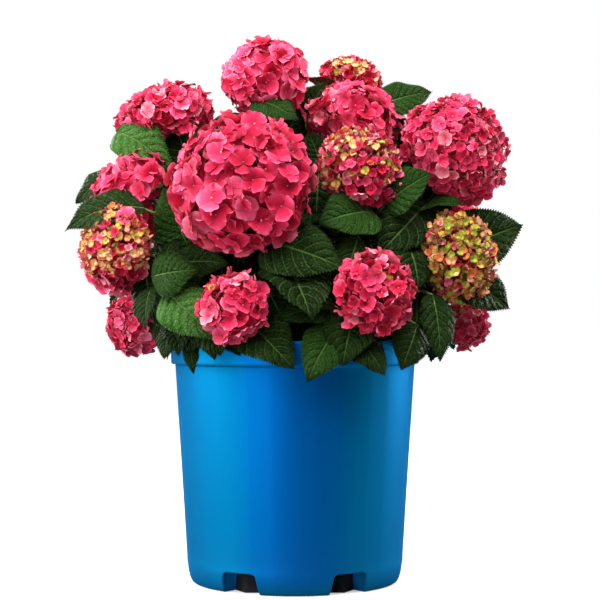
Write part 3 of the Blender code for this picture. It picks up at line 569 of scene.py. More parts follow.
class Growth:
    """What has grown so far, and the tests of whether a new leaf touches it."""

    def __init__(self):
        self.solids = []  # (owner, tree, what the same owner's leaves may not cross, is a head)
        self.leaves = []  # (shape, stated tint or None) of each leaf
        self.lines = {}  # each twig's (owner, centreline, length at its tip that has no leaves)
        self.clearance = LEAF_CLEARANCE

    def add_solid(self, solid, owner, is_head=False):
        """owner is the cane or shoot that the solid belongs to, or None for a limb or the pot."""
        tree = BVHTree.FromPolygons(*solid)
        self.solids.append((owner, tree, tree if is_head else None, is_head))

    def add_leaf(self, shape, owner, stated_tint=None):
        """Keeps a leaf that has found its place."""
        corners = leaf_corners(shape)
        self.leaves.append((shape, stated_tint))
        self.solids.append((owner, BVHTree.FromPolygons(corners, leaf_faces()),
                            BVHTree.FromPolygons(corners, leaf_faces(2)), False))

    def free(self, shape, owner, may_cross_head=False):
        """True if a leaf, a little swollen, touches nothing but its own twigs."""
        swollen = leaf_corners(shape, self.clearance)
        whole = BVHTree.FromPolygons(swollen, leaf_faces())
        blade = BVHTree.FromPolygons(swollen, leaf_faces(2))
        for other, tree, crossed, is_head in self.solids:
            if other != owner:
                if whole.overlap(tree):
                    return False
            elif crossed and not (is_head and may_cross_head) and blade.overlap(crossed):
                return False
        return True

    def hides_blossom(self, shape):
        """True if a leaf would hang in front of a flower head, as seen from the head's own side."""
        for share in HIDING_SHARES:
            off = (np.array(arc_place(shape, share)[0]) - HEAD_CENTRES) * HEAD_SIDES
            if np.any((off[:, 1] < 0) & (np.hypot(off[:, 0], off[:, 2]) < HEAD_WIDTHS)):
                return True
        return False

    def grow_shown(self, leaves):
        """The leaves whose blades are stated. They stand where they are, whatever they touch."""
        for leaf in leaves:
            self.add_leaf(shown_leaf(leaf), None, leaf.tint)

    def grow_reachers(self, reachers):
        """The leaves whose tips are stated, each shortened until it touches nothing."""
        for leaf in reachers:
            owner, line, _ = self.lines[leaf.twig]
            for share in REACHER_SHARES:
                shape = reaching_leaf(line, leaf, share)
                if self.free(shape, owner, may_cross_head=True):
                    self.add_leaf(shape, owner)
                    break

    def grow_pairs(self, rng, shares=PAIR_SHARES, shift=0.0, quarter=0):
        """Opposite pairs of leaves down each twig, each pair turned a quarter from the last.

        The uppermost pairs of all twigs grow first. shift moves all the pairs down their twigs,
        and quarter turns them, for a second flush between the first.
        """
        longest = max(lengths_along(line)[-1] for _, line, _ in self.lines.values())
        for pair in range(int(longest / PAIR_SPACING) + 1):
            for index, (owner, line, bare) in enumerate(self.lines.values()):
                place = lengths_along(line)[-1] - bare - shift - pair * PAIR_SPACING
                jitter = rng.uniform(-1, 1, (2, 5))
                if place < LOWEST_LEAF:
                    continue
                for side in (0, 1):
                    turn = 50 * index + 90 * pair + 180 * side + quarter
                    self.grow_one(owner, *along(line, place), turn, jitter[side], shares)

    def grow_one(self, owner, root, tangent, turn, jitter, shares):
        """Adds the longest leaf that fits, tried straight and then swept aside, or none."""
        aside, up, long, broad, droop = jitter
        rise = radians(LEAF_RISE[0] + LEAF_RISE[1] * up)
        length = LEAF_LENGTH * (LENGTHS[0] + LENGTHS[1] * long)
        width = length * LEAF_WIDTH * (1 + BROADENS * broad)
        bend = LEAF_BEND[0] + LEAF_BEND[1] * droop
        for share in shares:
            for sweep in PAIR_SWEEPS:
                around = radians(turn + SWINGS * aside + sweep)
                shape = paired_leaf(root, tangent, around, rise, length * share, width * share,
                                    bend)
                if self.hides_blossom(shape) or in_bare_spot(shape):
                    continue
                if not in_outline(leaf_corners(shape)):
                    continue
                if self.free(shape, owner):
                    self.add_leaf(shape, owner)
                    return


# %% Grow the leaves
FLUSH_SHARES = (0.8, 0.66, 0.52, 0.4, 0.3)  # the lengths tried for the second flush's leaves


def node_solid(name):
    """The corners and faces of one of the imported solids."""
    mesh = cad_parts[name].data
    return [v.co.copy() for v in mesh.vertices], [tuple(p.vertices) for p in mesh.polygons]


def add_twig(grown, name, owner, line, bare):
    """Grows a twig or shoot. The last of its length, bare, has no leaves."""
    places = stretch(line, 0.0, lengths_along(line)[-1], 4)
    radii = np.linspace(TWIG_BASE_RADIUS, TWIG_TIP_RADIUS, len(places)).tolist()
    grown.add_solid(tube_solid(places, radii, 3), owner)
    grown.lines[name] = (owner, line, bare)


def planted():
    """The pot, the wood, the twigs and the heads in place, before any leaf grows."""
    grown = Growth()
    for name in ("pot", "potting_soil", "woody_crown"):
        grown.add_solid(node_solid(name), None)
    for cane in CANES:
        grown.add_solid(node_solid("cane_" + cane.name), None)
        for head in cane.heads:
            bare = head_underside(head) * (1 - TWIG_SINKS) + PEDUNCLE_LENGTH
            add_twig(grown, head.name, cane.name, TWIG_LINES[head.name], bare)
            grown.add_solid(ball_solid(head), cane.name, is_head=True)
    for shoot in SHOOTS:
        add_twig(grown, shoot.name, shoot.name, SHOOT_LINES[shoot.name], SHOOT_TIP_LENGTH)
    return grown


growth = planted()
growth.grow_shown(SHOWN)
growth.grow_reachers(REACHERS)
growth.grow_pairs(np.random.default_rng(7))
first_flush = len(growth.leaves)
growth.clearance = 0.0
growth.grow_pairs(np.random.default_rng(8), FLUSH_SHARES, shift=PAIR_SPACING / 2, quarter=45)
print(first_flush, "leaves in the first flush, and", len(growth.leaves) - first_flush, "between")

# %% [markdown]
# ## From arrays to meshes
#
# A surface is worked out as one array of points, and its faces as one array of corner numbers.
# foreach_set puts both into a mesh at once. Many leaves or petals share one grid: their points
# are one array with a row for each copy, and the faces are the grid's, moved on for each copy.

# %% Meshes from arrays
def grid_quads(rows, columns, turned=False):
    """The quads of a grid with rows * columns cells, numbered along each row of points."""
    corner = np.arange(rows)[:, None] * (columns + 1) + np.arange(columns)
    quads = np.stack([corner, corner + 1, corner + columns + 2, corner + columns + 1], -1)
    quads = quads.reshape(-1, 4)
    return quads[:, ::-1] if turned else quads


def ring_quads(rings, sides):
    """The quads between rings of points that each close on themselves."""
    ring, side = np.meshgrid(np.arange(rings - 1), np.arange(sides), indexing="ij")
    low, nxt = ring * sides + side, ring * sides + (side + 1) % sides
    return np.stack([low, nxt, nxt + sides, low + sides], -1).reshape(-1, 4)


def copies(faces, count, points_each):
    """The faces of count copies of a shape, each with its own run of points."""
    step = np.arange(count)[:, None, None] * points_each
    return (faces[None] + step).reshape(-1, faces.shape[1])


def add_piece(name, points, groups, materials, slots=None, uv=None):
    """Links a smooth mesh to the scene as a piece that rides with the pot.

    groups is a list of face arrays, each with three or four corners a face. slots gives each
    face's material number, in the same order. uv gives each point's place on its leaf or petal.
    """
    sizes = np.concatenate([np.full(len(g), g.shape[1]) for g in groups])
    corners = np.concatenate([g.ravel() for g in groups]).astype(np.int32)
    points = np.asarray(points, np.float32).reshape(-1, 3)
    mesh = bpy.data.meshes.new(name)
    mesh.vertices.add(len(points))
    mesh.vertices.foreach_set("co", points.ravel())
    mesh.loops.add(len(corners))
    mesh.loops.foreach_set("vertex_index", corners)
    mesh.polygons.add(len(sizes))
    mesh.polygons.foreach_set("loop_start", (np.cumsum(sizes) - sizes).astype(np.int32))
    for finish in materials:
        mesh.materials.append(finish)
    if slots is not None:
        mesh.polygons.foreach_set("material_index", np.asarray(slots, np.int32))
    if uv is not None:
        layer = mesh.uv_layers.new(name="UVMap")
        layer.data.foreach_set("uv", np.asarray(uv, np.float32)[corners].ravel())
    mesh.update(calc_edges=True)
    mesh.shade_smooth()
    piece = bpy.data.objects.new(name, mesh)
    bpy.context.scene.collection.objects.link(piece)
    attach(piece, "root")
    print(f"{name}: {int((sizes - 2).sum())} triangles")
    return piece


def unit(vectors):
    """Vectors along the last axis, each scaled to length 1."""
    return vectors / np.maximum(np.linalg.norm(vectors, axis=-1, keepdims=True), 1e-12)


# %% [markdown]
# ## Shared effects
#
# Three effects come back in several finishes, so each is a node group with named sockets: a fine
# grain, the veins of a leaf, and the faint ribs of a petal. They put out masks and heights, and
# each material decides what to do with them.

# %% Node groups: grain, leaf veins and petal ribs
def new_group(name, inputs, outputs):
    """An empty shader node group with float sockets, or vector ones where the name is Vector."""
    group = bpy.data.node_groups.new(name, "ShaderNodeTree")
    for label in inputs:
        kind = "NodeSocketVector" if label == "Vector" else "NodeSocketFloat"
        group.interface.new_socket(label, in_out="INPUT", socket_type=kind)
    for label in outputs:
        group.interface.new_socket(label, in_out="OUTPUT", socket_type="NodeSocketFloat")
    return group, group.nodes.new("NodeGroupInput"), group.nodes.new("NodeGroupOutput")


def set_inputs(tree, node, values):
    """Sets a node's inputs. Each value is a number, a tuple, or the output to read it from."""
    for label, value in values.items():
        if isinstance(value, bpy.types.NodeSocket):
            tree.links.new(value, node.inputs[label])
        else:
            node.inputs[label].default_value = value


def add_node(tree, kind, values, **settings):
    """A new node, with its settings made and then its inputs set."""
    node = tree.nodes.new("ShaderNode" + kind)
    for label, value in settings.items():
        setattr(node, label, value)
    set_inputs(tree, node, values)
    return node


def math_node(tree, operation, *values):
    """The output of a Math node. Each value is a number or another node's output."""
    return add_node(tree, "Math", dict(enumerate(values)), operation=operation).outputs[0]


def times(tree, first, second):
    """The product of two numbers or outputs."""
    return math_node(tree, "MULTIPLY", first, second)


def smooth_step(tree, value, low, high):
    """0 below low, 1 above high, and a smooth ramp between. low may be the larger of the two."""
    ends = {"Value": value, "From Min": low, "From Max": high}
    return add_node(tree, "MapRange", ends, interpolation_type="SMOOTHSTEP").outputs["Result"]


def noise(tree, vector, scale, detail=2.0, roughness=0.5):
    """The value of a Noise texture at a vector."""
    values = {"Vector": vector, "Scale": scale, "Detail": detail, "Roughness": roughness}
    return add_node(tree, "TexNoise", values).outputs["Fac"]


def scaled(tree, vector, factors):
    """A vector with its three parts multiplied by three numbers."""
    return add_node(tree, "VectorMath", {0: vector, 1: factors}, operation="MULTIPLY").outputs[0]


def axes_of(tree, vector):
    """The outputs X, Y and Z of a vector."""
    return add_node(tree, "SeparateXYZ", {0: vector}).outputs


def off_middle(tree, across):
    """0 in the middle of a UV's width, and 1 at both its edges."""
    return math_node(tree, "ABSOLUTE", math_node(tree, "MULTIPLY_ADD", across, 2.0, -1.0))


def build_grain():
    """Fine grain over slow blotches: Fine is a height, and Blotch a mask from 0 to 1."""
    group, entry, leave = new_group("grain", ("Vector", "Scale"), ("Fine", "Blotch"))
    vector, scale = entry.outputs["Vector"], entry.outputs["Scale"]
    slow = noise(group, vector, times(group, scale, 0.06), 4.0)
    set_inputs(group, leave, {"Fine": noise(group, vector, scale, 3.0),
                              "Blotch": smooth_step(group, slow, 0.38, 0.66)})
    return group


VEIN_PAIRS = 8
VEIN_SLANT = 0.22  # how much of the blade's length a side vein climbs on its way to the edge
VEIN_CURVE = 0.06  # how much more it climbs, with the square of its way
VEIN_NET = (14.0, 26.0, 1.0)  # the cells of the net of fine veins across a blade and along it
PETAL_GRAIN = (16.0, 1.6, 1.0)  # the same for a petal's ribs


def build_leaf_veins():
    """The veins of a leaf on its own UV: u runs across it and v from its base to its tip.

    A side vein starts at each whole number of the phase, v less the climb of the veins, times
    their number. Height is a row of quilted pads between the veins, with a fine net on them.
    """
    group, entry, leave = new_group("leaf_veins", ("Vector",), ("Vein", "Height"))
    uv = entry.outputs["Vector"]
    parts = axes_of(group, uv)
    out = off_middle(group, parts["X"])
    climb = times(group, out, VEIN_SLANT)
    curve = times(group, times(group, out, out), VEIN_CURVE)
    start = math_node(group, "SUBTRACT", math_node(group, "SUBTRACT", parts["Y"], climb), curve)
    phase = times(group, start, float(VEIN_PAIRS))
    away = times(group, math_node(group, "PINGPONG", phase, 0.5), 2.0)
    side_vein = smooth_step(group, away, 0.17, 0.02)
    midrib = smooth_step(group, out, 0.07, 0.015)
    net = add_node(group, "TexVoronoi", {"Scale": 1.0, "Vector": scaled(group, uv, VEIN_NET)},
                   feature="DISTANCE_TO_EDGE")
    cells = smooth_step(group, net.outputs["Distance"], 0.0, 0.22)
    pads = math_node(group, "POWER", math_node(group, "MAXIMUM", away, 0.0001), 0.6)
    relief_height = math_node(group, "MULTIPLY_ADD", cells, 0.5, pads)
    flat = math_node(group, "SUBTRACT", 1.0, times(group, midrib, 0.9))
    set_inputs(group, leave, {"Vein": math_node(group, "MAXIMUM", side_vein, midrib),
                              "Height": times(group, relief_height, flat)})
    return group


def build_petal_ribs():
    """Faint ribs that run out along a petal, on its own UV: v from its claw to its rim."""
    group, entry, leave = new_group("petal_ribs", ("Vector",), ("Rib", "Rim", "Broad Rim", "Claw"))
    uv = entry.outputs["Vector"]
    ribs = noise(group, scaled(group, uv, PETAL_GRAIN), 1.0, 3.0)
    parts = axes_of(group, uv)
    edge = math_node(group, "MAXIMUM", off_middle(group, parts["X"]), parts["Y"])
    set_inputs(group, leave, {"Rib": ribs, "Rim": smooth_step(group, edge, 0.6, 1.0),
                              "Broad Rim": smooth_step(group, edge, 0.5, 0.92),
                              "Claw": smooth_step(group, parts["Y"], 0.75, 0.0)})
    return group


GRAIN, LEAF_VEINS, PETAL_RIBS = build_grain(), build_leaf_veins(), build_petal_ribs()
print("effects:", [group.name for group in (GRAIN, LEAF_VEINS, PETAL_RIBS)])

# %% Helpers for materials
def tint(code):
    """A colour such as #1F3D1F as linear red, green, blue and alpha."""
    parts = np.array([int(code[i:i + 2], 16) for i in (1, 3, 5)]) / 255
    linear = np.where(parts <= 0.04045, parts / 12.92, ((parts + 0.055) / 1.055) ** 2.4)
    return (*(float(c) for c in linear), 1.0)


def new_material(name, color, roughness, specular=0.5):
    """A Principled material with a plain colour: its tree and its shader."""
    made = bpy.data.materials.new(name)
    made.use_nodes = True
    tree = made.node_tree
    shader = tree.nodes["Principled BSDF"]
    set_inputs(tree, shader, {"Base Color": tint(color), "Roughness": roughness,
                              "Specular IOR Level": specular})
    return made, tree, shader


def use_group(tree, group, vector, **numbers):
    """Places a shared effect in a material, reading a vector, with its numbers set."""
    return add_node(tree, "Group", {"Vector": vector, **numbers}, node_tree=group)


def mixed_color(tree, share, first, second):
    """A colour between two. share is an output, and each colour a code or an output."""
    first, second = (tint(c) if isinstance(c, str) else c for c in (first, second))
    ends = {"Factor": share, "A": first, "B": second}
    return add_node(tree, "Mix", ends, data_type="RGBA").outputs["Result"]


def bumped(tree, shader, height, distance, strength=1.0):
    """Gives a shader the relief of a height, whose full range stands distance metres high."""
    values = {"Height": height, "Distance": distance, "Strength": strength}
    set_inputs(tree, shader, {"Normal": add_node(tree, "Bump", values).outputs["Normal"]})


def coordinates(tree, kind="Object"):
    """Object coordinates, or the UV that follows the surface."""
    return tree.nodes.new("ShaderNodeTexCoord").outputs[kind]


# %% [markdown]
# ## The pot
#
# A nursery pot is blow moulded in one piece: a thin tapered wall, a band round the rim that keeps
# stacked pots apart, and six notches in the rounded foot that let water out. It is one grid turned
# about the axis. Its columns follow the slanting sides of the notches, and a point in a notch is
# pushed inwards, first by the thickness of the wall and then by the notch's full depth.

# %% Turned shapes and slow random relief
def turning(grid, low, high):
    """Closes rings, (rows, sides, 3) from low to high, with a pole at each end."""
    rows, sides = grid.shape[:2]
    points = np.concatenate([grid.reshape(-1, 3), [low, high]])
    first = np.arange(sides)
    after, last, pole = np.roll(first, -1), (rows - 1) * sides, rows * sides
    fans = np.concatenate([
        np.stack([np.full(sides, pole), after, first], 1),
        np.stack([np.full(sides, pole + 1), first + last, after + last], 1),
    ])
    return points, [ring_quads(rows, sides), fans]


def rings(radii, heights, turns):
    """Points (rows, sides, 3) at radii and turns that may differ from row to row."""
    turns = np.broadcast_to(turns, (len(heights), np.shape(turns)[-1]))
    radii = np.broadcast_to(np.reshape(radii, (len(heights), -1)), turns.shape)
    tall = np.broadcast_to(np.reshape(heights, (-1, 1)), turns.shape)
    return np.stack([radii * np.sin(turns), -radii * np.cos(turns), tall], -1)


def relief(places, rng, wavelength, count=14):
    """Slow random relief, about -1 to 1: the scaled sum of sine waves in random directions."""
    waves = unit(rng.normal(size=(count, 3))) * tau / wavelength
    waves *= rng.uniform(0.6, 1.6, (count, 1))
    return np.sin(places @ waves.T + rng.uniform(0, tau, count)).sum(-1) / sqrt(count)


# %% The pot
LIP = 1.0 * MM  # the rounding of the rim band's edges
NOTCH_CORNER = 3 * MM  # the radius of a notch's upper corners
NOTCH_EDGE = 0.25 * MM  # how far the crisp turn at a notch's edge spreads
NOTCH_BATTER = 0.01  # how far the back of a notch leans outwards, in its heights
FALSE_FLOOR = 26 * MM  # the inside of the shell ends here, under the soil and over the notches


def pot_sections():
    """Radius, height and notch class of each ring, from the underside round to the inside.

    The class says how far in a notch may push the ring: 0 not at all, 1 by the wall, 2 all the way.
    """
    body, foot, rounding, top = BODY_TOP_RADIUS, BODY_FOOT_RADIUS, FOOT_ROUNDING_HEIGHT, POT_HEIGHT
    heel = FOOT_RADIUS - NOTCH_DEPTH
    sections = [(40 * MM, 0.0, 0), (heel - 1 * MM, 0.0, 0), (FOOT_RADIUS, 0.0, 2)]
    steps = np.array([0.2, 0.7, 1.5, 3, 5, 7, 9, 11, 13, 14.5, 15.5, 16.4, 17.1, 17.6, 17.85]) * MM
    for z in (*steps, NOTCH_HEIGHT, NOTCH_HEIGHT + NOTCH_EDGE, 19 * MM, 21 * MM, rounding):
        radius = FOOT_RADIUS + (foot - FOOT_RADIUS) * sin(acos(1 - z / rounding))
        sections.append((radius, z, 2 if z < NOTCH_HEIGHT else int(z == NOTCH_HEIGHT)))
    band = top - RIM_BAND_HEIGHT
    for share in np.linspace(0, 1, 26)[1:-1]:
        sections.append((foot + (body - foot) * share, rounding + (band - rounding) * share, 0))
    low, high = RIM_RADIUS - RIM_FLARE, RIM_RADIUS
    rim = [
        (body, band - 0.9 * MM), (body + 0.1 * MM, band - 0.3 * MM), (body + 0.5 * MM, band),
        (low - LIP, band), (low - 0.3 * LIP, band + 0.3 * LIP), (low, band + LIP),
        (low + 0.1 * MM, band + 3 * MM), ((low + high) / 2, band + 11 * MM),
        (high, top - 3 * MM), (high, top - LIP), (high - 0.3 * LIP, top - 0.3 * LIP),
        (high - LIP, top), (high - WALL + 0.4 * MM, top), (high - WALL, top - 0.5 * MM),
        (high - WALL, top - 3 * MM), (low - WALL, band + WALL + 1 * MM),
        (low - WALL - 1 * MM, band + WALL), (body - WALL, band + WALL),
        (body - WALL, band + 0.5 * MM), (body - WALL, band - 6 * MM),
        (foot - WALL, FALSE_FLOOR + 8 * MM), (foot - WALL, FALSE_FLOOR),
    ]
    return np.array(sections + [(radius, z, 0) for radius, z in rim])


def pot_columns():
    """Each column's share of the way across its sector, its step off a notch's edge, and class.

    In a sector the share runs from -1 to 1. Beyond a notch's edge it counts from the edge out.
    """
    beyond = [(0.5 + 0.5 * s, 0.0, 0) for s in (0.8, 0.6, 0.4, 0.2, 0.08, -0.06)]
    edge = [(0.0, 0.9 * MM, 0), (0.0, NOTCH_EDGE, 0), (0.0, 0.0, 1), (0.0, -NOTCH_EDGE, 2)]
    inside = [(share, 0.0, 2) for share in (-0.2, -0.4, -0.6, -0.8, -1.0)]
    return beyond + edge + inside


def notch_half_width(z):
    """Half the width of a notch at a height. Its sides slope, and its upper corners are round."""
    below = np.clip(NOTCH_HEIGHT - z, 0.0, None)
    slope = (NOTCH_FOOT_WIDTH - NOTCH_TOP_WIDTH) / 2 / NOTCH_HEIGHT
    up_corner = np.clip(1 - below / NOTCH_CORNER, 0.0, 1.0)
    return NOTCH_TOP_WIDTH / 2 + slope * below - NOTCH_CORNER * (1 - np.sqrt(1 - up_corner**2))


def build_pot(finish, shade):
    """The pot's shell, in the blue plastic, with the deep parts of its notches in shade."""
    radii, heights, depth_class = pot_sections().T
    sector = tau / NOTCH_COUNT
    half = notch_half_width(heights) / FOOT_RADIUS
    turns, classes = [], []
    for share, step, column_class in pot_columns():
        if share >= 0:
            turns.append(half + step / FOOT_RADIUS + share * (sector / 2 - half))
        else:
            turns.append(half * (1 + share))
        classes.append(column_class)
    turns, classes = np.array(turns).T, np.array(classes)
    turns = np.concatenate([-turns, turns[:, -2::-1]], 1)
    classes = np.concatenate([classes, classes[-2::-1]])
    far_edge = np.full((len(heights), 1), sector / 2)
    middles = sector * (np.arange(NOTCH_COUNT) + 0.5)
    turns = np.concatenate([np.concatenate([turns, far_edge], 1) + m for m in middles], 1)
    classes = np.tile(np.append(classes, 0), NOTCH_COUNT)
    push = np.minimum(depth_class[:, None], classes[None])
    deep = (FOOT_RADIUS - NOTCH_DEPTH) * np.cos(half[:, None]) / np.cos(
        (turns - sector / 2) % sector - sector / 2)
    deep = deep + heights[:, None] * NOTCH_BATTER
    wide = np.where(push == 2, deep, radii[:, None] - WALL * (push == 1))
    points, groups = turning(rings(wide, heights, turns), (0, 0, 0), (0, 0, FALSE_FLOOR))
    shaded = (push[:-1] == 2) & (push[1:] == 2)
    shaded &= np.roll(shaded, -1, 1)
    slots = np.concatenate([shaded.ravel(), np.zeros(2 * len(classes), bool)]).astype(np.int32)
    return add_piece("nursery_pot", points, groups, (finish, shade), slots)


# %% [markdown]
# ## The potting soil
#
# Potting mix is dark peat with bark chips and white perlite in it. The surface is a disc with slow
# and fine relief, heaped towards the crown. The chips are small boxes with their corners shaken,
# lying every way, joined into one piece.

# %% The soil, its chips and its perlite
SOIL_SHOULDER = 4 * MM  # how much lower the soil is at the wall
SOIL_LEVEL = 60 * MM  # it is level as far out as this
SOIL_UNDERSIDE = 168 * MM
SOIL_EDGE = BODY_TOP_RADIUS - WALL - 0.9 * MM
CHIP_COUNT = 620
PERLITE_COUNT = 170
BOX = np.array([(-1, -1, -1), (1, -1, -1), (1, 1, -1), (-1, 1, -1),
                (-1, -1, 1), (1, -1, 1), (1, 1, 1), (-1, 1, 1)])
BOX_FACES = np.array([(0, 3, 2, 1), (4, 5, 6, 7), (0, 1, 5, 4), (1, 2, 6, 5), (2, 3, 7, 6),
                      (3, 0, 4, 7)])


def soil_height(x, y):
    """The soil's surface: low at the wall, level in the middle, with lumps of two sizes."""
    rng = np.random.default_rng(21)
    places = np.stack([x, y, np.zeros_like(x)], -1)
    lumps = 1.5 * MM * relief(places, rng, 42 * MM) + 0.9 * MM * relief(places, rng, 11 * MM)
    fine = 0.5 * MM * relief(places, rng, 4 * MM)
    fall = np.clip((np.hypot(x, y) - SOIL_LEVEL) / (SOIL_EDGE - SOIL_LEVEL), 0, 1) ** 1.5
    return SOIL_TOP - 2.5 * MM - SOIL_SHOULDER * fall + lumps + fine


def build_soil(finish):
    """The top of the soil, closed underneath."""
    turns = np.linspace(0, tau, 180, endpoint=False)
    reach = np.linspace(SOIL_EDGE, 2 * MM, 54)
    top = rings(reach, np.zeros_like(reach), turns)
    top[..., 2] = soil_height(top[..., 0], top[..., 1])
    under = rings([SOIL_EDGE * 0.98, SOIL_EDGE], [SOIL_UNDERSIDE, SOIL_UNDERSIDE + 4 * MM], turns)
    points, groups = turning(np.concatenate([under, top]), (0, 0, SOIL_UNDERSIDE),
                             (0, 0, SOIL_TOP - 2 * MM))
    return add_piece("soil_surface", points, groups, (finish,))


def random_axes(rng, count):
    """Random right-angled axes (count, 3, 3), one set for each thing that lies any way round."""
    first = unit(rng.normal(size=(count, 3)))
    second = unit(np.cross(first, rng.normal(size=(count, 3))))
    return np.stack([first, second, np.cross(first, second)], 1)


def build_chips(materials):
    """Bark chips in three browns, and crumbs of perlite."""
    rng = np.random.default_rng(22)
    count = CHIP_COUNT + PERLITE_COUNT
    is_chip = np.arange(count) < CHIP_COUNT
    reach = SOIL_EDGE * np.sqrt(rng.uniform(0.03, 0.93, count))
    turn = rng.uniform(0, tau, count)
    x, y = reach * np.sin(turn), reach * np.cos(turn)
    chip_size = rng.uniform((2.2, 1.3, 0.5), (6.5, 3.2, 1.3), (count, 3)) * MM
    crumb_size = rng.uniform(0.8, 1.7, (count, 1)) * MM * np.ones(3)
    size = np.where(is_chip[:, None], chip_size, crumb_size)
    flat = random_axes(rng, count) * (1, 1, 0.35)
    axes = unit(flat)
    axes[:, 1] = unit(np.cross(axes[:, 0], flat[:, 2]))
    axes[:, 2] = np.cross(axes[:, 0], axes[:, 1])
    shaken = BOX * rng.uniform(0.6, 1.0, (count, 8, 3))
    corners = np.einsum("nki,nij->nkj", shaken * size[:, None], axes)
    middle = np.stack([x, y, soil_height(x, y) + 0.5 * MM], -1)
    slots = np.where(is_chip, rng.integers(0, 3, count), 3)
    return add_piece("bark_chips", corners + middle[:, None], [copies(BOX_FACES, count, 8)],
                     materials, np.repeat(slots, 6))


# %% [markdown]
# ## The wood
#
# Old hydrangea wood is tan and peels in thin strips; this year's growth above it is green with
# darker lenticels. The canes and the crown are tubes and a dome whose surface is really pushed in
# and out along the grain, and the shader adds what is finer.

# %% Tubes, and the canes with their crown
CANE_SIDES = 16
CANE_PLACES = 60
TWIG_SIDES = 7
TWIG_PLACES = 30
JOINT_SWELL = 0.45  # how much thicker a twig is where a pair of leaves leaves it
KNOT_SWELL, KNOTS = 0.16, 5  # the same for the joints of a cane, and how many it has
STRIPS = 0.10  # the relief of peeling bark, in a cane's radiuses
GREEN_FROM = 0.62  # this far along a cane its wood turns green
DOME_SINK = 3 * MM  # how deep the crown's dome starts


def tube_points(centres, radii, sides):
    """Points (count, places, sides, 3) of tubes round centrelines (count, places, 3).

    Each ring's first side is what remains of the last ring's square to the line: no twist.
    """
    ahead = unit(np.gradient(centres, axis=1))
    spare = np.where(np.abs(ahead[:, :1, 2:]) < 0.9, (0.0, 0.0, 1.0), (1.0, 0.0, 0.0))
    side = unit(np.cross(ahead[:, 0], spare[:, 0]))
    carried = []
    for place in range(centres.shape[1]):
        line = ahead[:, place]
        side = unit(side - line * (side * line).sum(-1, keepdims=True))
        carried.append(side)
    side = np.stack(carried, 1)[:, :, None]
    other = np.cross(ahead[:, :, None], side)
    turn = tau * np.arange(sides)[:, None] / sides
    radii = np.broadcast_to(radii, (*centres.shape[:2], sides))[..., None]
    return centres[:, :, None] + radii * (side * np.cos(turn) + other * np.sin(turn))


def tube_faces(count, places, sides):
    """The faces of closed tubes: their walls, and a flat cap at each end."""
    each = places * sides
    cap = np.arange(sides)
    caps = np.stack([cap[::-1], cap + (places - 1) * sides])
    return [copies(ring_quads(places, sides), count, each), copies(caps, count, each)]


def even_places(line, start, end, count):
    """count points spread evenly along a line between two distances, as an array."""
    return np.array([point[:] for point, _ in stretch(line, start, end, count - 1)])


def build_wood(materials):
    """The crown and the canes up to their forks, tan below and greener towards their tips."""
    rng = np.random.default_rng(31)
    lines = [even_places(line, CROWN_RADIUS * 0.6, lengths_along(line)[-1] + STEM_LENGTH * 0.6,
                         CANE_PLACES) for line in CANE_LINES.values()]
    centres = np.array(lines)
    share = np.linspace(0, 1, CANE_PLACES)[:, None]
    radii = CANE_BASE_RADIUS + (CANE_TIP_RADIUS - CANE_BASE_RADIUS) * share
    points = tube_points(centres, radii, CANE_SIDES)
    middles = centres[:, :, None]
    rounds = middles * (1, 1, 0.25) + (points - middles) * 6
    strips = relief(rounds, rng, 26 * MM)[..., None]
    knots = np.exp(-(((share * KNOTS) % 1 - 0.5) / 0.06) ** 2)[..., None]
    grow = 1 + STRIPS * strips * (1 - 0.7 * share[..., None]) + KNOT_SWELL * knots
    points = middles + (points - middles) * grow
    groups = tube_faces(len(lines), CANE_PLACES, CANE_SIDES)
    green = (np.arange(CANE_PLACES - 1) > CANE_PLACES * GREEN_FROM).astype(np.int32)
    slots = [np.tile(np.repeat(green, CANE_SIDES), len(lines)), np.tile([0, 1], len(lines))]
    piece = add_piece("canes", points, groups, materials, np.concatenate(slots))

    turns = np.linspace(0, tau, 96, endpoint=False)
    rise = np.radians(np.linspace(-8, 84, 34))
    flare = 1 + (CROWN_FLARE - 1) * np.exp(-np.clip(rise, 0, None) / 0.18)
    base = CROWN_CENTRE.z - DOME_SINK
    tall = base + CROWN_RADIUS * (np.sin(rise) + 0.14) * 0.96
    dome = rings(CROWN_RADIUS * np.cos(rise) * flare, tall, turns)
    knobs = 0.10 * relief(dome, rng, 22 * MM) + 0.03 * relief(dome, rng, 5 * MM)
    dome[..., :2] *= 1 + knobs[..., None]
    crown_points, crown_groups = turning(dome, (0, 0, base), (0, 0, tall[-1] + 0.2 * MM))
    crown = add_piece("crown_wood", crown_points, crown_groups, materials[:1])
    return piece, crown


def add_tubes(name, points, finish):
    """One joined piece of closed tubes (count, places, sides, 3)."""
    return add_piece(name, points, tube_faces(*points.shape[:3]), (finish,))


# %% [markdown]
# ## The leaves
#
# A bigleaf hydrangea's leaf is as large as a hand, with coarse teeth, a pale midrib and eight or so
# pairs of side veins, and between its veins it puffs up like a quilt. All leaves are one formula on
# a grid: the midrib is an arc, the blade rises and falls to each side of it, and the edge steps in
# and out for the teeth. Leaves near the outside of the crown get a finer grid, and the leaves that
# the plan states get the finest.

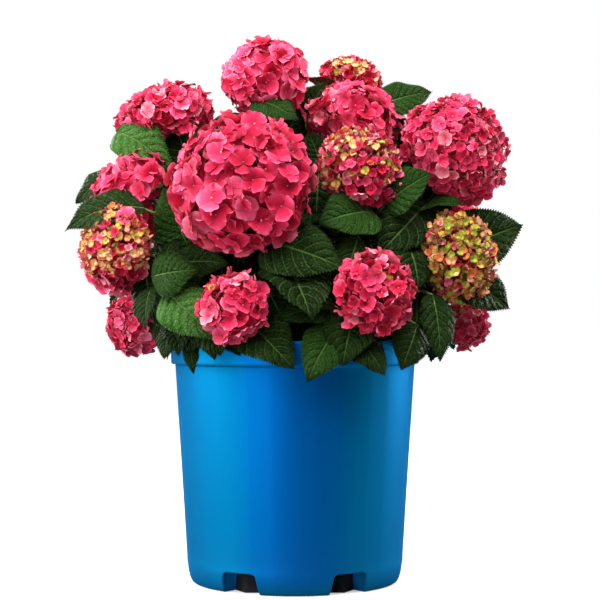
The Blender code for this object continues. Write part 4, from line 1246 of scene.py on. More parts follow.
# %% The blades
FINE_ACROSS = np.array([0, 0.08, 0.3, 0.54, 0.78, 1.0])  # a blade's columns, from midrib to edge
COARSE_ACROSS = np.array([0, 0.5, 1.0])
FINE_ROWS = 40
FINEST_ROWS = 72
COARSE_ROWS = 18
TOOTH = 1.6 * MM
TINT_STEPS = (0.62, 0.86, 1.06)  # a leaf's tint is the next one beyond each of these
TINT_SPREAD = 0.16  # how far chance moves it
PUFF = 2.6 * MM  # the height of the quilting between the veins
SHAPE_BASE, SHAPE_TIP = 0.55, 1.05  # a blade's outline widens as t^0.55 and narrows as (1-t)^1.05
SHAPE_TOP = 0.3575  # the largest value of that product
OUTER_REACH = 0.58  # leaves whose middle is beyond this share of the crown's outline are fine
TWIST = 0.42  # a blade twists by up to this many radians along its length
FOLD, CURL = (0.30, 0.16), (0.26, 0.20)  # the slope of its fold and of its curl: mean and range
RIPPLE = 1.7 * MM  # the height of the waves of its margin
RIPPLES = (2.2, 0.6)  # how many there are: mean and range
BLADE_SWAY = 0.05  # how far at most its tip swings aside, in its lengths


def shape_arrays(shapes):
    """The leaves' roots, headings, faces, lengths, widths and bends, each as one array."""
    vectors = [np.array([shape[k][:] for shape in shapes]) for k in range(3)]
    numbers = [np.array([shape[k] for shape in shapes], float) for k in (3, 4)]
    return (*vectors, *numbers, np.radians([shape[5] for shape in shapes]))


def arc_frames(root, heading, face, length, bend, share):
    """What arc_place gives, for all leaves at once and at each share of their midribs."""
    turn = bend[:, None, None] * share[None, :, None]
    radius = (length / bend)[:, None, None]
    heading, face = heading[:, None], face[:, None]
    centre = root[:, None] + heading * radius * np.sin(turn) - face * radius * (1 - np.cos(turn))
    up = face * np.cos(turn) + heading * np.sin(turn)
    return centre, up, heading * np.cos(turn) - face * np.sin(turn)


def blade_points(shapes, half_across, rows, rng):
    """Points (count, rows + 1, columns, 3) of the blades, and their UV.

    Height over the midrib's arc is a fold that rises from the midrib, less a curl towards the
    edge, plus pads between the veins and a slow ripple of the margin. The blade also twists.
    """
    root, heading, face, length, width, bend = shape_arrays(shapes)
    count = len(shapes)
    across = np.concatenate([-half_across[:0:-1], half_across])
    t = np.linspace(0, 1, rows + 1)
    centre, up, ahead = arc_frames(root, heading, face, length, bend,
                                   PETIOLE_SHARE + (1 - PETIOLE_SHARE) * t)
    side = np.broadcast_to(np.cross(heading, face)[:, None], up.shape)
    twists, folds, curls, beats, starts, sways = rng.uniform(-1, 1, (6, count, 1, 1))
    twist = (TWIST * twists * (t[None, :, None] - 0.25)).reshape(count, -1, 1)
    side, up = side * np.cos(twist) + up * np.sin(twist), up * np.cos(twist) - side * np.sin(twist)
    outline = np.maximum(t**SHAPE_BASE * (1 - t) ** SHAPE_TIP / SHAPE_TOP, 0.02 * (1 - t) + 0.006)
    half = (width[:, None] / 2 * outline)[..., None]
    long = length[:, None, None]
    a, t_grid = across[None, None, :], t[None, :, None]
    out = np.abs(a)
    scale = long / LEAF_LENGTH
    odd = (np.arange(rows + 1) % 2)[None, :, None]
    tooth = TOOTH * (0.5 + 0.5 * scale) * (odd - 0.4) * (out == 1) * np.sin(pi * t_grid) ** 0.4
    wide = a * half + np.sign(a) * tooth
    phase = VEIN_PAIRS * (t_grid - VEIN_SLANT * out - VEIN_CURVE * out**2)
    pads = np.abs(np.sin(pi * phase)) ** 0.7 * np.sin(pi * np.clip(out, 0, 1)) ** 0.5
    fold, curl = FOLD[0] + FOLD[1] * folds, CURL[0] + CURL[1] * curls
    fold = half * (fold * out - curl * out**2)
    waves = (RIPPLES[0] + RIPPLES[1] * beats) * t_grid + starts + 0.25 * a
    ripple = RIPPLE * scale * out**3 * np.sin(tau * waves)
    tall = fold + PUFF * scale * pads * np.sin(pi * t_grid) ** 0.5 + ripple
    sway = BLADE_SWAY * sways * long * t_grid**2
    forward = 0.9 * TOOTH * odd * (out == 1) - 0.02 * long * out**2 * (1 - t_grid)
    points = (centre[:, :, None] + side[:, :, None] * (wide + sway)[..., None]
              + up[:, :, None] * tall[..., None] + ahead[:, :, None] * forward[..., None])
    uv = np.stack(np.broadcast_arrays(a / 2 + 0.5, t_grid), -1)
    return points, np.broadcast_to(uv, (count, *uv.shape[1:]))


def add_blades(name, shapes, half_across, rows, tints, seed):
    """One joined piece of leaf blades, each in its own tint."""
    points, uv = blade_points(shapes, half_across, rows, np.random.default_rng(seed))
    columns = 2 * (len(half_across) - 1)
    quads = grid_quads(rows, columns)
    faces = copies(quads, len(shapes), (rows + 1) * (columns + 1))
    slots = np.repeat(tints, len(quads))
    return add_piece(name, points, [faces], LEAF_FINISHES, slots, uv.reshape(-1, 2))


def blade_middle(shape):
    """A point near the middle of a leaf's blade."""
    root, heading, _, length, _, _ = shape
    return root + heading * length * 0.6


def leaf_tint(shape, rng):
    """0 to 3, from dark to fresh green: fresher high up and further out.

    Young leaves are fresher there, and the darker tints inside the crown are partly painted shade.
    """
    light = outwardness(blade_middle(shape)) + rng.normal(0, TINT_SPREAD)
    return int(np.digitize(light, TINT_STEPS))


# %% Petioles, twigs and the small stalks of florets
PETIOLE_PLACES = 7
PETIOLE_SIDES = 6
CROWN_MIDDLE = np.array((0, 20, 270)) * MM
DRAWN_IN = 35 * MM  # how far inwards the petiole of a leaf whose blade is stated starts


def petiole_points(shapes, drawn_in):
    """Tubes along each midrib's first half, which thin out under the blade.

    drawn_in is how far from its root, towards the crown's middle, each petiole starts.
    """
    root, heading, face, length, _, bend = shape_arrays(shapes)
    share = np.linspace(0, 0.5, PETIOLE_PLACES)
    centre, up, _ = arc_frames(root, heading, face, length, bend, share)
    early = np.clip(1 - share / PETIOLE_SHARE, 0, 1) ** 1.5
    centre = centre + (unit(CROWN_MIDDLE - root) * drawn_in[:, None])[:, None] * early[:, None]
    radii = np.interp(share, (0, 0.06, PETIOLE_SHARE, 0.5), (2.1, 1.35, 1.2, 0.35)) * MM
    return tube_points(centre - up * (radii[:, None] * 0.7), radii[:, None], PETIOLE_SIDES)


def twig_points():
    """The twigs of heads and shoots, with a swelling at each pair of leaves."""
    centres, radii = [], []
    for _, line, bare in growth.lines.values():
        whole = lengths_along(line)[-1]
        centres.append(even_places(line, 0.0, whole, TWIG_PLACES))
        back = (whole - bare - np.linspace(0, whole, TWIG_PLACES)) / PAIR_SPACING
        swell = 1 + JOINT_SWELL * np.exp(-((back - np.round(back)) / 0.1) ** 2) * (back > -0.4)
        radii.append(np.linspace(TWIG_BASE_RADIUS, TWIG_TIP_RADIUS, TWIG_PLACES) * swell)
    return tube_points(np.array(centres), np.array(radii)[..., None], TWIG_SIDES)


# %% [markdown]
# ## The flower heads
#
# A mophead is a few hundred florets on thin stalks that meet at the top of the twig. What looks
# like petals are four sepals, in two crossed pairs, round a bead-like bud. The florets are dealt
# out over each head by the golden angle, which leaves no rows, and shaken a little in place, tilt,
# size and cup. An inner layer in darker tints, which are painted shade, closes the gaps. Young
# heads are smaller florets in cream and green with red rims, and some heads are part young and
# part open.

# %% The looks of florets, and which head has which
Look = namedtuple("Look", "spacing size tilt cup tints inner")
# spacing and size are in millimetres, tilt in degrees, cup is a floret's depth in its radiuses,
# and tints and inner are the shares of each tint in the outer and the inner layer.

TINTS = ("hot_pink", "rose_pink", "deep_pink", "crimson", "pale_pink", "cream", "lime",
         "yellow_green", "orange_red", "shade_red", "shade_green")
# The inner layer's mixes, darker than the outer ones: painted shade in the gaps between florets.
DEEP_SHADE = (0, 0, 32, 44, 0, 0, 0, 0, 0, 24, 0)
WARM_SHADE = (26, 0, 46, 22, 0, 0, 0, 0, 0, 6, 0)
EARTHY_SHADE = (0, 0, 16, 36, 0, 0, 0, 8, 18, 16, 6)
MOSSY_SHADE = (0, 0, 2, 12, 0, 0, 8, 4, 14, 18, 42)
LOOKS = {name: Look(*row) for name, row in {
    "open": (16.2, 25.0, 25, 0.34, (54, 16, 24, 6, 0, 0, 0, 0, 0, 0, 0), DEEP_SHADE),
    "red": (16.2, 24.5, 28, 0.36, (38, 6, 40, 16, 0, 0, 0, 0, 0, 0, 0), DEEP_SHADE),
    "pink": (15.6, 25.5, 17, 0.30, (52, 36, 12, 0, 0, 0, 0, 0, 0, 0, 0), DEEP_SHADE),
    "large": (14.2, 22.0, 17, 0.38, (56, 26, 14, 2, 2, 0, 0, 0, 0, 0, 0), WARM_SHADE),
    "medium": (12.2, 18.0, 26, 0.42, (50, 22, 20, 4, 4, 0, 0, 0, 0, 0, 0), WARM_SHADE),
    "small": (10.6, 15.4, 28, 0.46, (46, 20, 22, 4, 8, 0, 0, 0, 0, 0, 0), WARM_SHADE),
    "edged": (10.4, 15.4, 36, 0.50, (26, 10, 38, 20, 6, 0, 0, 0, 0, 0, 0), DEEP_SHADE),
    "fine": (9.2, 13.8, 33, 0.58, (46, 16, 25, 6, 7, 0, 0, 0, 0, 0, 0), WARM_SHADE),
    "bright": (9.6, 14.4, 30, 0.50, (54, 30, 10, 0, 6, 0, 0, 0, 0, 0, 0), WARM_SHADE),
    "fresh": (8.4, 11.8, 34, 0.55, (34, 40, 0, 0, 16, 6, 0, 0, 4, 0, 0), WARM_SHADE),
    "budding": (7.4, 10.6, 38, 0.85, (20, 4, 30, 18, 3, 9, 0, 9, 7, 0, 0), EARTHY_SHADE),
    "mixed": (7.0, 10.4, 42, 0.85, (16, 10, 20, 10, 14, 16, 2, 8, 4, 0, 0), EARTHY_SHADE),
    "cream": (6.8, 9.6, 40, 1.0, (5, 8, 10, 6, 6, 42, 3, 17, 3, 0, 0), EARTHY_SHADE),
    "turning": (7.2, 10.4, 42, 0.9, (1, 0, 6, 10, 4, 6, 26, 24, 19, 2, 2), MOSSY_SHADE),
    "lime": (6.4, 9.2, 42, 1.05, (0, 0, 1, 5, 1, 3, 60, 20, 7, 0, 3), MOSSY_SHADE),
}.items()}
ODD_PETALS = 0.12  # the share of petals whose tint differs from their floret's
UPWARDS, DOWNWARDS = (0, 0), (0, 180)
# Each head's look, then (bearing and nod of a direction, degrees round it, look) for its patches.
BLOOMS = {
    "front_large": ("open", ((60, 90), 60, "red")),
    "low_front_left": ("medium", ((-60, 50), 24, "budding")),
    "left_young": ("cream", ((60, 30), 26, "medium"), (DOWNWARDS, 58, "edged")),
    "low_left": ("bright", (DOWNWARDS, 50, "small")),
    "upper_left": ("small", ((-40, 60), 50, "bright")),
    "left": ("pink",),
    "top": ("large",),
    "upper_middle": ("medium",),
    "top_small": ("budding", ((10, 50), 32, "cream")),
    "middle_young": ("mixed", ((-30, 44), 36, "cream"), ((20, 170), 56, "edged")),
    "low_front_right": ("edged", ((20, 60), 16, "budding")),
    "right": ("bright", ((80, 110), 75, "fine")),
    "right_young": ("lime", ((-10, 150), 56, "turning"), ((-70, 80), 38, "turning")),
    "low_right": ("fresh",),
    "back_high_right": ("pink",),
    "back_right": ("open", (UPWARDS, 40, "edged")),
    "back_low_right": ("mixed", (DOWNWARDS, 60, "edged")),
    "back_top": ("open",),
    "back_middle": ("cream", (DOWNWARDS, 70, "edged"), ((200, 60), 34, "medium")),
    "back_high_left": ("open",),
    "back_left": ("edged",),
    "back_low_left": ("lime", (DOWNWARDS, 60, "red")),
}
Shift = namedtuple("Shift", "wider lower across down")
# Heads whose florets stand a little off the plain solid: two factors, on its width and on its
# underside, and how far to the right and down they sit in millimetres.
SHIFTS = {
    "top": Shift(0.95, 1.4, -3, 4), "upper_left": Shift(1.0, 1.1, 0, 5),
    "left": Shift(1.1, 1.2, 2, 9), "top_small": Shift(1.0, 1.0, 0, 3),
    "right": Shift(1.05, 1.12, -4, -1), "low_left": Shift(1.0, 1.45, 7, 0),
    "low_right": Shift(0.92, 1.3, -4, -3), "low_front_right": Shift(0.94, 1.0, -1, -1),
}
NO_SHIFT = Shift(1.0, 1.0, 0, 0)
SURFACE_POWER = 1.6  # the exponent that gives an ellipsoid's area within 1%
LOWEST_FLORET = -0.86  # no floret grows lower on a head than this
OUTER_LAYER = (0.86, 1.02)  # the florets' depth in the head, as a share of its surface
INNER_LAYER = (0.68, 0.80)
FLORET_INSET = 0.18  # in a floret's width: how far inside the head's surface it is rooted
INNER_SPACING = 1.05  # the inner layer's spacing, in the outer one's
CELL_AREA = 0.866  # the area of an evenly packed floret, in its spacings squared
SHAKE = 0.16  # how far a floret is shaken from its even place, in its spacings
GOLDEN_ANGLE = pi * (3 - sqrt(5))


def head_axes(head):
    """A head's reach across, up and down, in metres."""
    shift = SHIFTS.get(head.name, NO_SHIFT)
    return head.wide * MM * shift.wider, head.tall * MM, head_underside(head) * shift.lower


def scattered(head, spacing, rng):
    """Places on a head's surface about spacing apart: local unit directions, shaken a little."""
    wide, up, down = head_axes(head)
    tall = (up + down) / 2
    mean = (wide ** (2 * SURFACE_POWER) + 2 * (wide * tall) ** SURFACE_POWER) / 3
    area = 4 * pi * mean ** (1 / SURFACE_POWER)
    count = int(area / (spacing**2 * CELL_AREA))
    z = 1 - (np.arange(count) + 0.5) * 2 / count
    turn = GOLDEN_ANGLE * np.arange(count) + rng.uniform(0, tau)
    ring = np.sqrt(1 - z**2)
    sphere = np.stack([ring * np.cos(turn), ring * np.sin(turn), z], -1)
    sphere += rng.normal(0, SHAKE / sqrt(count / 12), sphere.shape)
    sphere = unit(sphere)
    return sphere[sphere[:, 2] > LOWEST_FLORET]


def in_patch(directions, patch):
    """True where a direction in space lies within a patch."""
    (bearing, nod), degrees, _ = patch
    return directions @ np.array(facing(bearing, nod)) > cos(radians(degrees))


def layer_of(head, look_name, spacing, depth, rng):
    """Florets of one look on one layer of a head: places, normals and their directions in space."""
    sphere = scattered(head, spacing, rng)
    wide, up, down = head_axes(head)
    tall = np.where(sphere[:, 2] > 0, up, down)
    axes = np.stack([np.full_like(tall, wide), np.full_like(tall, wide), tall], -1)
    turn = np.array(head_frame(head).to_3x3())
    shift = SHIFTS.get(head.name, NO_SHIFT)
    centre = np.array(head_centre(head)) + (shift.across * MM, 0, -shift.down * MM)
    inset = LOOKS[look_name].size * MM * FLORET_INSET
    places = sphere * (axes - inset) * rng.uniform(*depth, (len(sphere), 1))
    return places @ turn.T + centre, unit(sphere / axes) @ turn.T, sphere @ turn.T


def head_florets(head, rng):
    """A head's florets: arrays of place, normal, size, cup, tint of each petal, and is inner."""
    main, *patches = BLOOMS[head.name]
    looks = [(main, None)] + [(patch[2], patch) for patch in patches]
    rows = []
    for look_name, patch in looks:
        look = LOOKS[look_name]
        for depth, factor in ((OUTER_LAYER, 1.0), (INNER_LAYER, INNER_SPACING)):
            places, normals, directions = layer_of(head, look_name, look.spacing * MM * factor,
                                                   depth, rng)
            inner = depth is INNER_LAYER
            keep = np.ones(len(places), bool) if patch is None else in_patch(directions, patch)
            for other in patches:
                if patch is None:
                    keep &= ~in_patch(directions, other)
            count = len(places)
            lean = rng.normal(0, tan(radians(look.tilt)) * 0.7, (count, 3))
            weights = np.array(look.inner if inner else look.tints, float)
            weights /= weights.sum()
            tints = rng.choice(len(TINTS), (count, 1), p=weights)
            odd = rng.choice(len(TINTS), (count, 4), p=weights)
            tints = np.where(rng.uniform(size=(count, 4)) < ODD_PETALS, odd, tints)
            size = look.size * MM * rng.uniform(0.8, 1.12, count) / 2
            cup = look.cup + rng.normal(0, 0.07, count)
            parts = places, unit(normals + lean), size, cup, tints, np.full(count, inner)
            rows.append([part[keep] for part in parts])
    return [np.concatenate(part) for part in zip(*rows)]


# %% [markdown]
# A sepal is a grid from its claw to its rim. Along it the height rises and then curls back, and
# across it the height follows a cup. Its rim is a shallow arc, and the second pair of a floret
# lies a little above the first.

# %% Petals, buds and floret stalks
FINE_RUN = np.array([0.0, 0.2, 0.42, 0.64, 0.84, 1.0])  # shares of a petal's length, claw to rim
FINE_WING = np.array([-1.0, -0.55, 0.0, 0.55, 1.0])  # shares of half its width
SMALL_RUN, PLAIN_RUN = np.array([0.0, 0.4, 0.76, 1.0]), np.array([0.0, 0.5, 1.0])
PLAIN_WING = np.array([-1.0, 0.0, 1.0])
SMALL_FLORET = 7.2 * MM  # florets of less than this radius get the small grid
ROUND_HALF = (0.11, 0.33, 0.52, 0.60, 0.54, 0.33)  # half its width at FINE_RUN, in its lengths
POINTED_HALF = (0.12, 0.36, 0.52, 0.52, 0.36, 0.10)
PAIR_LIFT = 0.45 * MM  # the crossed pairs of a floret lie this far over and under its middle
BUD_RADIUS = 1.15 * MM
BUD_SIDES = 6
STALK_RADII = np.array([0.9, 0.6, 0.4]) * MM  # of a floret's stalk, from its foot to its top


def floret_axes(normals, rng):
    """Three axes for each floret: two across it at a random turn, and its normal."""
    first = unit(np.cross(normals, unit(rng.normal(size=normals.shape))))
    return first, np.cross(normals, first), normals


def petal_points(places, normals, size, cup, run, wing, outline, rng):
    """Points (florets, 4, rows, columns, 3) of all petals, and their UV.

    Height along a petal is cup * r, less a curl of r squared. Across it a crease adds a squared.
    """
    count = len(places)
    first, second, normal = (axis[:, None, None, None] for axis in floret_axes(normals, rng))
    size, cup = size[:, None, None, None], cup[:, None, None, None]
    r, a = run[:, None], wing[None, :]
    shape = (count, 4, 1, 1)
    turn = pi / 2 * np.arange(4)[None, :, None, None] + rng.normal(0, 0.08, shape)
    long = size * rng.uniform(0.9, 1.08, shape)
    curl = 0.3 * cup + rng.normal(0.06, 0.14, shape)
    crease = rng.normal(0.06, 0.13, shape)
    half = np.interp(run, FINE_RUN, outline)[:, None] * rng.uniform(0.9, 1.12, shape)
    x = long * r * (1 - 0.17 * a**2 * r**2)
    y = long * half * a
    ruffle = 0.035 * r**2 * np.sin(tau * (0.8 * a + rng.uniform(0, 1, shape)))
    lift = PAIR_LIFT * np.where(np.arange(4) % 2, 1, -1)[None, :, None, None]
    z = long * (cup * r - curl * r**2 + crease * a**2 * r + ruffle) + lift
    turn = turn[..., None]
    ahead = first * np.cos(turn) + second * np.sin(turn)
    aside = second * np.cos(turn) - first * np.sin(turn)
    points = (places[:, None, None, None] + ahead * x[..., None] + aside * y[..., None]
              + normal * z[..., None])
    uv = np.stack(np.broadcast_arrays(a / 2 + 0.5, r), -1)
    return points, np.broadcast_to(uv, (count, 4, *uv.shape))


def add_petals(name, points, uv, tints):
    """One joined piece of petals, each in its own tint."""
    count, rows, columns = points.shape[0] * 4, points.shape[2] - 1, points.shape[3] - 1
    quads = grid_quads(rows, columns, turned=True)
    faces = copies(quads, count, (rows + 1) * (columns + 1))
    slots = np.repeat(tints.ravel(), len(quads))
    return add_piece(name, points, [faces], PETAL_FINISHES, slots, uv.reshape(-1, 2))


def add_buds(places, normals, size, materials, rng):
    """The bead in the middle of each floret: two rings and a pole."""
    first, second, normal = floret_axes(normals, rng)
    turn = tau * np.arange(BUD_SIDES) / BUD_SIDES
    round_ = (first[:, None] * np.cos(turn)[:, None] + second[:, None] * np.sin(turn)[:, None])
    big = (BUD_RADIUS * np.clip(size / (12 * MM), 0.45, 1.1))[:, None, None]
    normal = normal[:, None]
    low = round_ * big + normal * 0.1 * big
    high = round_ * big * 0.72 + normal * big * 0.95
    pole, foot = normal * big * 1.3, -normal * big * 0.6
    points = places[:, None] + np.concatenate([low, high, pole, foot], 1)
    k = np.arange(BUD_SIDES)
    nxt = (k + 1) % BUD_SIDES
    walls = np.stack([k, nxt, nxt + BUD_SIDES, k + BUD_SIDES], 1)
    caps = np.stack([k + BUD_SIDES, nxt + BUD_SIDES, np.full(BUD_SIDES, 2 * BUD_SIDES)], 1)
    feet = np.stack([nxt, k, np.full(BUD_SIDES, 2 * BUD_SIDES + 1)], 1)
    each, count = 2 * BUD_SIDES + 2, len(places)
    groups = [copies(walls, count, each), copies(np.concatenate([caps, feet]), count, each)]
    kinds = rng.choice(2, count, p=(0.55, 0.45))
    slots = np.concatenate([np.repeat(kinds, BUD_SIDES), np.repeat(kinds, 2 * BUD_SIDES)])
    return add_piece("flower_buds", points, groups, materials, slots)


def stalk_points(heads, per_head):
    """Thin tubes from the top of each twig out to each floret."""
    hubs = np.concatenate([
        np.tile(np.array(TWIG_LINES[head.name][-1]), (len(rows[0]), 1))
        for head, rows in zip(heads, per_head)])
    ends = np.concatenate([rows[0] for rows in per_head])
    normals = np.concatenate([rows[1] for rows in per_head])
    share = np.array([0.0, 0.55, 1.0])[None, :, None]
    bow = np.linalg.norm(ends - hubs, axis=1)[:, None, None] * 0.2 * (1 - share) * share
    centres = hubs[:, None] * (1 - share) + (ends - normals * 0.6 * MM)[:, None] * share
    return tube_points(centres - normals[:, None] * bow, STALK_RADII[None, :, None], 3)


# %% [markdown]
# ## Finishes
#
# Leaves are waxy above, with a yellow-green sheen, and dull beneath, with painted shade in the
# grooves by their veins. Petals have a soft sheen in the tint of their rims, and a faint painted
# glow that stands in for light coming through them. The pot's plastic is lustrous: it sends most
# of the light back in its own blue, and a painted sheen makes it a little greener where it turns
# away. What is finer than a leaf or a petal, such as its veins, comes from its own UV.

# %% Materials
def leaf_material(name, color, under):
    """A leaf: tinted pads between paler veins, and a paler, duller back.

    Painted shade darkens the grooves by its veins.
    """
    made, tree, shader = new_material(name, color, 0.4, specular=0.22)
    uv = coordinates(tree, "UV")
    veins = use_group(tree, LEAF_VEINS, uv)
    grain = use_group(tree, GRAIN, coordinates(tree), Scale=900.0)
    blotch = times(tree, grain.outputs["Blotch"], 0.3)
    blotched = mixed_color(tree, blotch, color, under)
    share = times(tree, veins.outputs["Vein"], 0.3)
    # Painted shade: darker where the relief is low, in the grooves by the veins.
    groove_shade = math_node(tree, "MULTIPLY_ADD", veins.outputs["Height"], -0.5, 0.75)
    top = mixed_color(tree, math_node(tree, "MAXIMUM", groove_shade, 0.0), blotched, LEAF_GROOVE_SHADE)
    top = mixed_color(tree, share, top, LEAF_VEIN)
    behind = tree.nodes.new("ShaderNodeNewGeometry").outputs["Backfacing"]
    back = mixed_color(tree, share, under, LEAF_BACK_VEIN)
    rough = math_node(tree, "MULTIPLY_ADD", behind, 0.2, 0.38)
    set_inputs(tree, shader, {
        "Specular Tint": tint(LEAF_SHEEN),
        "Base Color": mixed_color(tree, behind, top, back),
        "Roughness": math_node(tree, "MULTIPLY_ADD", grain.outputs["Fine"], 0.12, rough),
    })
    bumped(tree, shader, veins.outputs["Height"], 1.9 * MM)
    return made


def petal_material(name, color, rim, claw):
    """A petal: its tint runs to others at its claw and rim, its ribs are faint, its back pale.

    On pinks and reds the darker claw is painted shade and the lighter rim a painted highlight, and
    all petals have a faint painted glow.
    """
    made, tree, shader = new_material("petal_" + name, color, 0.5, specular=0.32)
    ribs = use_group(tree, PETAL_RIBS, coordinates(tree, "UV")).outputs
    edge = ribs["Broad Rim" if name in YOUNG_TINTS else "Rim"]
    # The rim: a painted highlight on pinks and reds; on the young tints, their own red rim.
    toned = mixed_color(tree, times(tree, edge, 0.85), color, rim)
    toned = mixed_color(tree, math_node(tree, "MULTIPLY_ADD", ribs["Rib"], 0.6, -0.2), toned, rim)
    # The claw: painted shade where the petals meet on pinks and reds; on young tints, their own
    # green.
    toned = mixed_color(tree, times(tree, ribs["Claw"], 0.8), toned, claw)
    behind = tree.nodes.new("ShaderNodeNewGeometry").outputs["Backfacing"]
    set_inputs(tree, shader, {
        "Specular Tint": tint(rim),
        "Base Color": mixed_color(tree, times(tree, behind, 0.35), toned, PETAL_BACK),
        # Painted glow: the petals emit a little of their own colour, which lifts their shade.
        "Emission Color": toned,
        "Emission Strength": PETAL_PAINTED_GLOW,
        "Roughness": math_node(tree, "MULTIPLY_ADD", ribs["Rib"], 0.2, 0.42),
    })
    made.cycles.emission_sampling = "NONE"
    bumped(tree, shader, ribs["Rib"], 0.3 * MM, 0.6)
    return made


def grained_material(name, color, other, roughness, scale, depth, squeeze=1.0):
    """Two tints in blotches under a fine grain, which is 1 / squeeze times as tall as wide."""
    made, tree, shader = new_material(name, color, roughness)
    where = scaled(tree, coordinates(tree), (1.0, 1.0, squeeze))
    grain = use_group(tree, GRAIN, where, Scale=scale).outputs
    set_inputs(tree, shader, {
        "Base Color": mixed_color(tree, grain["Blotch"], color, other),
        "Roughness": math_node(tree, "MULTIPLY_ADD", grain["Fine"], 0.3, roughness - 0.15),
    })
    bumped(tree, shader, grain["Fine"], depth * MM)
    return made


def pot_material():
    """Blue plastic with a faint orange peel, and dusty near its foot.

    A painted sheen makes it greener where it turns away from the view.
    """
    made, tree, shader = new_material("blue_plastic", "#006EB8", 0.3, specular=0.3)
    where = coordinates(tree)
    grain = use_group(tree, GRAIN, where, Scale=1400.0)
    smudge = noise(tree, where, 22.0, 5.0, 0.6)
    foot = smooth_step(tree, axes_of(tree, where)["Z"], DUST_TOP, 0.0)
    dust = times(tree, times(tree, foot, smudge), 0.08)
    tone = mixed_color(tree, times(tree, smudge, 0.25), "#0066BA", "#005CAC")
    # Painted sheen: the base colour turns greener where the surface turns away from the view.
    side = add_node(tree, "LayerWeight", {"Blend": 0.5})
    painted_sheen = smooth_step(tree, side.outputs["Facing"], 0.0, POT_SHEEN_TURN)
    tone = mixed_color(tree, painted_sheen, tone, "#0080BA")
    rough = math_node(tree, "MULTIPLY_ADD", smudge, 0.08, 0.4)
    set_inputs(tree, shader, {
        "Specular Tint": tint("#58C4FF"),
        "Metallic": POT_LUSTRE,
        "Base Color": mixed_color(tree, dust, tone, "#4E88B0"),
        "Roughness": math_node(tree, "ADD", rough, dust),
    })
    bumped(tree, shader, grain.outputs["Fine"], 0.03 * MM, 0.5)
    return made


LEAF_SHEEN, LEAF_GROOVE_SHADE = "#A8CC80", "#081405"  # a leaf's reflections, and painted shade in its grooves
LEAF_VEIN, LEAF_BACK_VEIN = "#6E9A4C", "#8FAF78"
PETAL_BACK = "#F08FA4"
PETAL_PAINTED_GLOW = 0.03  # painted glow, as a share of their colour, for light through thin petals
POT_LUSTRE = 0.82  # the share of the light that the plastic sends back in its own blue
POT_SHEEN_TURN = 0.22  # a painted sheen greens the plastic where it turns away more than this
DUST_TOP = 60 * MM
# The darker finishes are partly painted shade, for leaves that lie deep in the crown.
LEAF_FINISHES = [
    leaf_material("leaf_dark", "#0F1E09", "#293E1D"),
    leaf_material("leaf_deep", "#192E0E", "#334A25"),
    leaf_material("leaf_middle", "#274A18", "#446333"),
    leaf_material("leaf_fresh", "#44772F", "#64894C"),
]
# On pinks and reds the lighter rim is a painted highlight and the darker claw painted shade; the
# young tints' red rims and green claws are their own colour.
PETAL_CODES = {  # the middle of a petal, its rim and its claw
    "hot_pink": ("#DC2850", "#E85A80", "#AC0E32"), "rose_pink": ("#E2426C", "#EE7896", "#BC2246"),
    "deep_pink": ("#CA183A", "#E24868", "#900A28"), "crimson": ("#B01232", "#D04260", "#76091F"),
    "pale_pink": ("#F07890", "#F8ACB8", "#CE3252"), "cream": ("#F0CE96", "#D8384A", "#D8D46C"),
    "lime": ("#9DBF4A", "#C04E2C", "#84AE36"), "yellow_green": ("#CEC25C", "#CC3E38", "#A2B63E"),
    "orange_red": ("#D43A34", "#F09468", "#BCA83A"), "shade_red": ("#560A1C", "#72102A", "#36060E"),
    "shade_green": ("#47481A", "#6E3418", "#2E3E12"),
}
YOUNG_TINTS = ("cream", "lime", "yellow_green")  # their red rims are broad
PETAL_FINISHES = [petal_material(name, *PETAL_CODES[name]) for name in TINTS]
# Wood, stalks, soil and buds: two tints, the roughness, the scale of the grain, its depth in
# millimetres, and its squeeze.
GRAINED = {
    "bark_tan": ("#8A6A45", "#5D432A", 0.75, 700.0, 0.5, 0.22),
    "green_wood": ("#6E7F3C", "#7F6240", 0.6, 700.0, 0.25, 0.25),
    "green_stalk": ("#55752F", "#6F8A42", 0.5, 500.0, 0.12, 0.3),
    "floret_stalk": ("#8A3B44", "#9FA35C", 0.5, 500.0, 0.1),
    "peat": ("#2A1D14", "#3B2A1D", 0.9, 800.0, 0.8),
    "chip_brown": ("#5A3D27", "#3E2A1C", 0.8, 600.0, 0.3),
    "chip_tan": ("#7C5A3A", "#5B3F28", 0.8, 600.0, 0.3),
    "chip_dark": ("#33241A", "#241810", 0.85, 600.0, 0.3),
    "perlite": ("#DAD6CA", "#BDB7A8", 0.85, 900.0, 0.2),
    "notch_shade": ("#07090C", "#0D1014", 0.9, 600.0, 0.3),
    "bud_pink": ("#E07088", "#F0B0B0", 0.5, 900.0, 0.1),
    "bud_red": ("#A82040", "#D8506C", 0.5, 900.0, 0.1),
}
FINISHES = {name: grained_material(name, *values) for name, values in GRAINED.items()}


def finishes(*names):
    """The grained materials with these names, in order."""
    return [FINISHES[name] for name in names]


# %% [markdown]
# ## Everything together
#
# Each kind is joined into a few pieces. Every piece rides with the pot, and takes the place of the
# plain solids that stand for it.

# %% Build the pot, the soil and the wood
def stands_for(piece, slot, *nodes):
    """Hides the solids that a piece is seen in place of. piece and slot are not used."""
    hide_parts(*nodes)


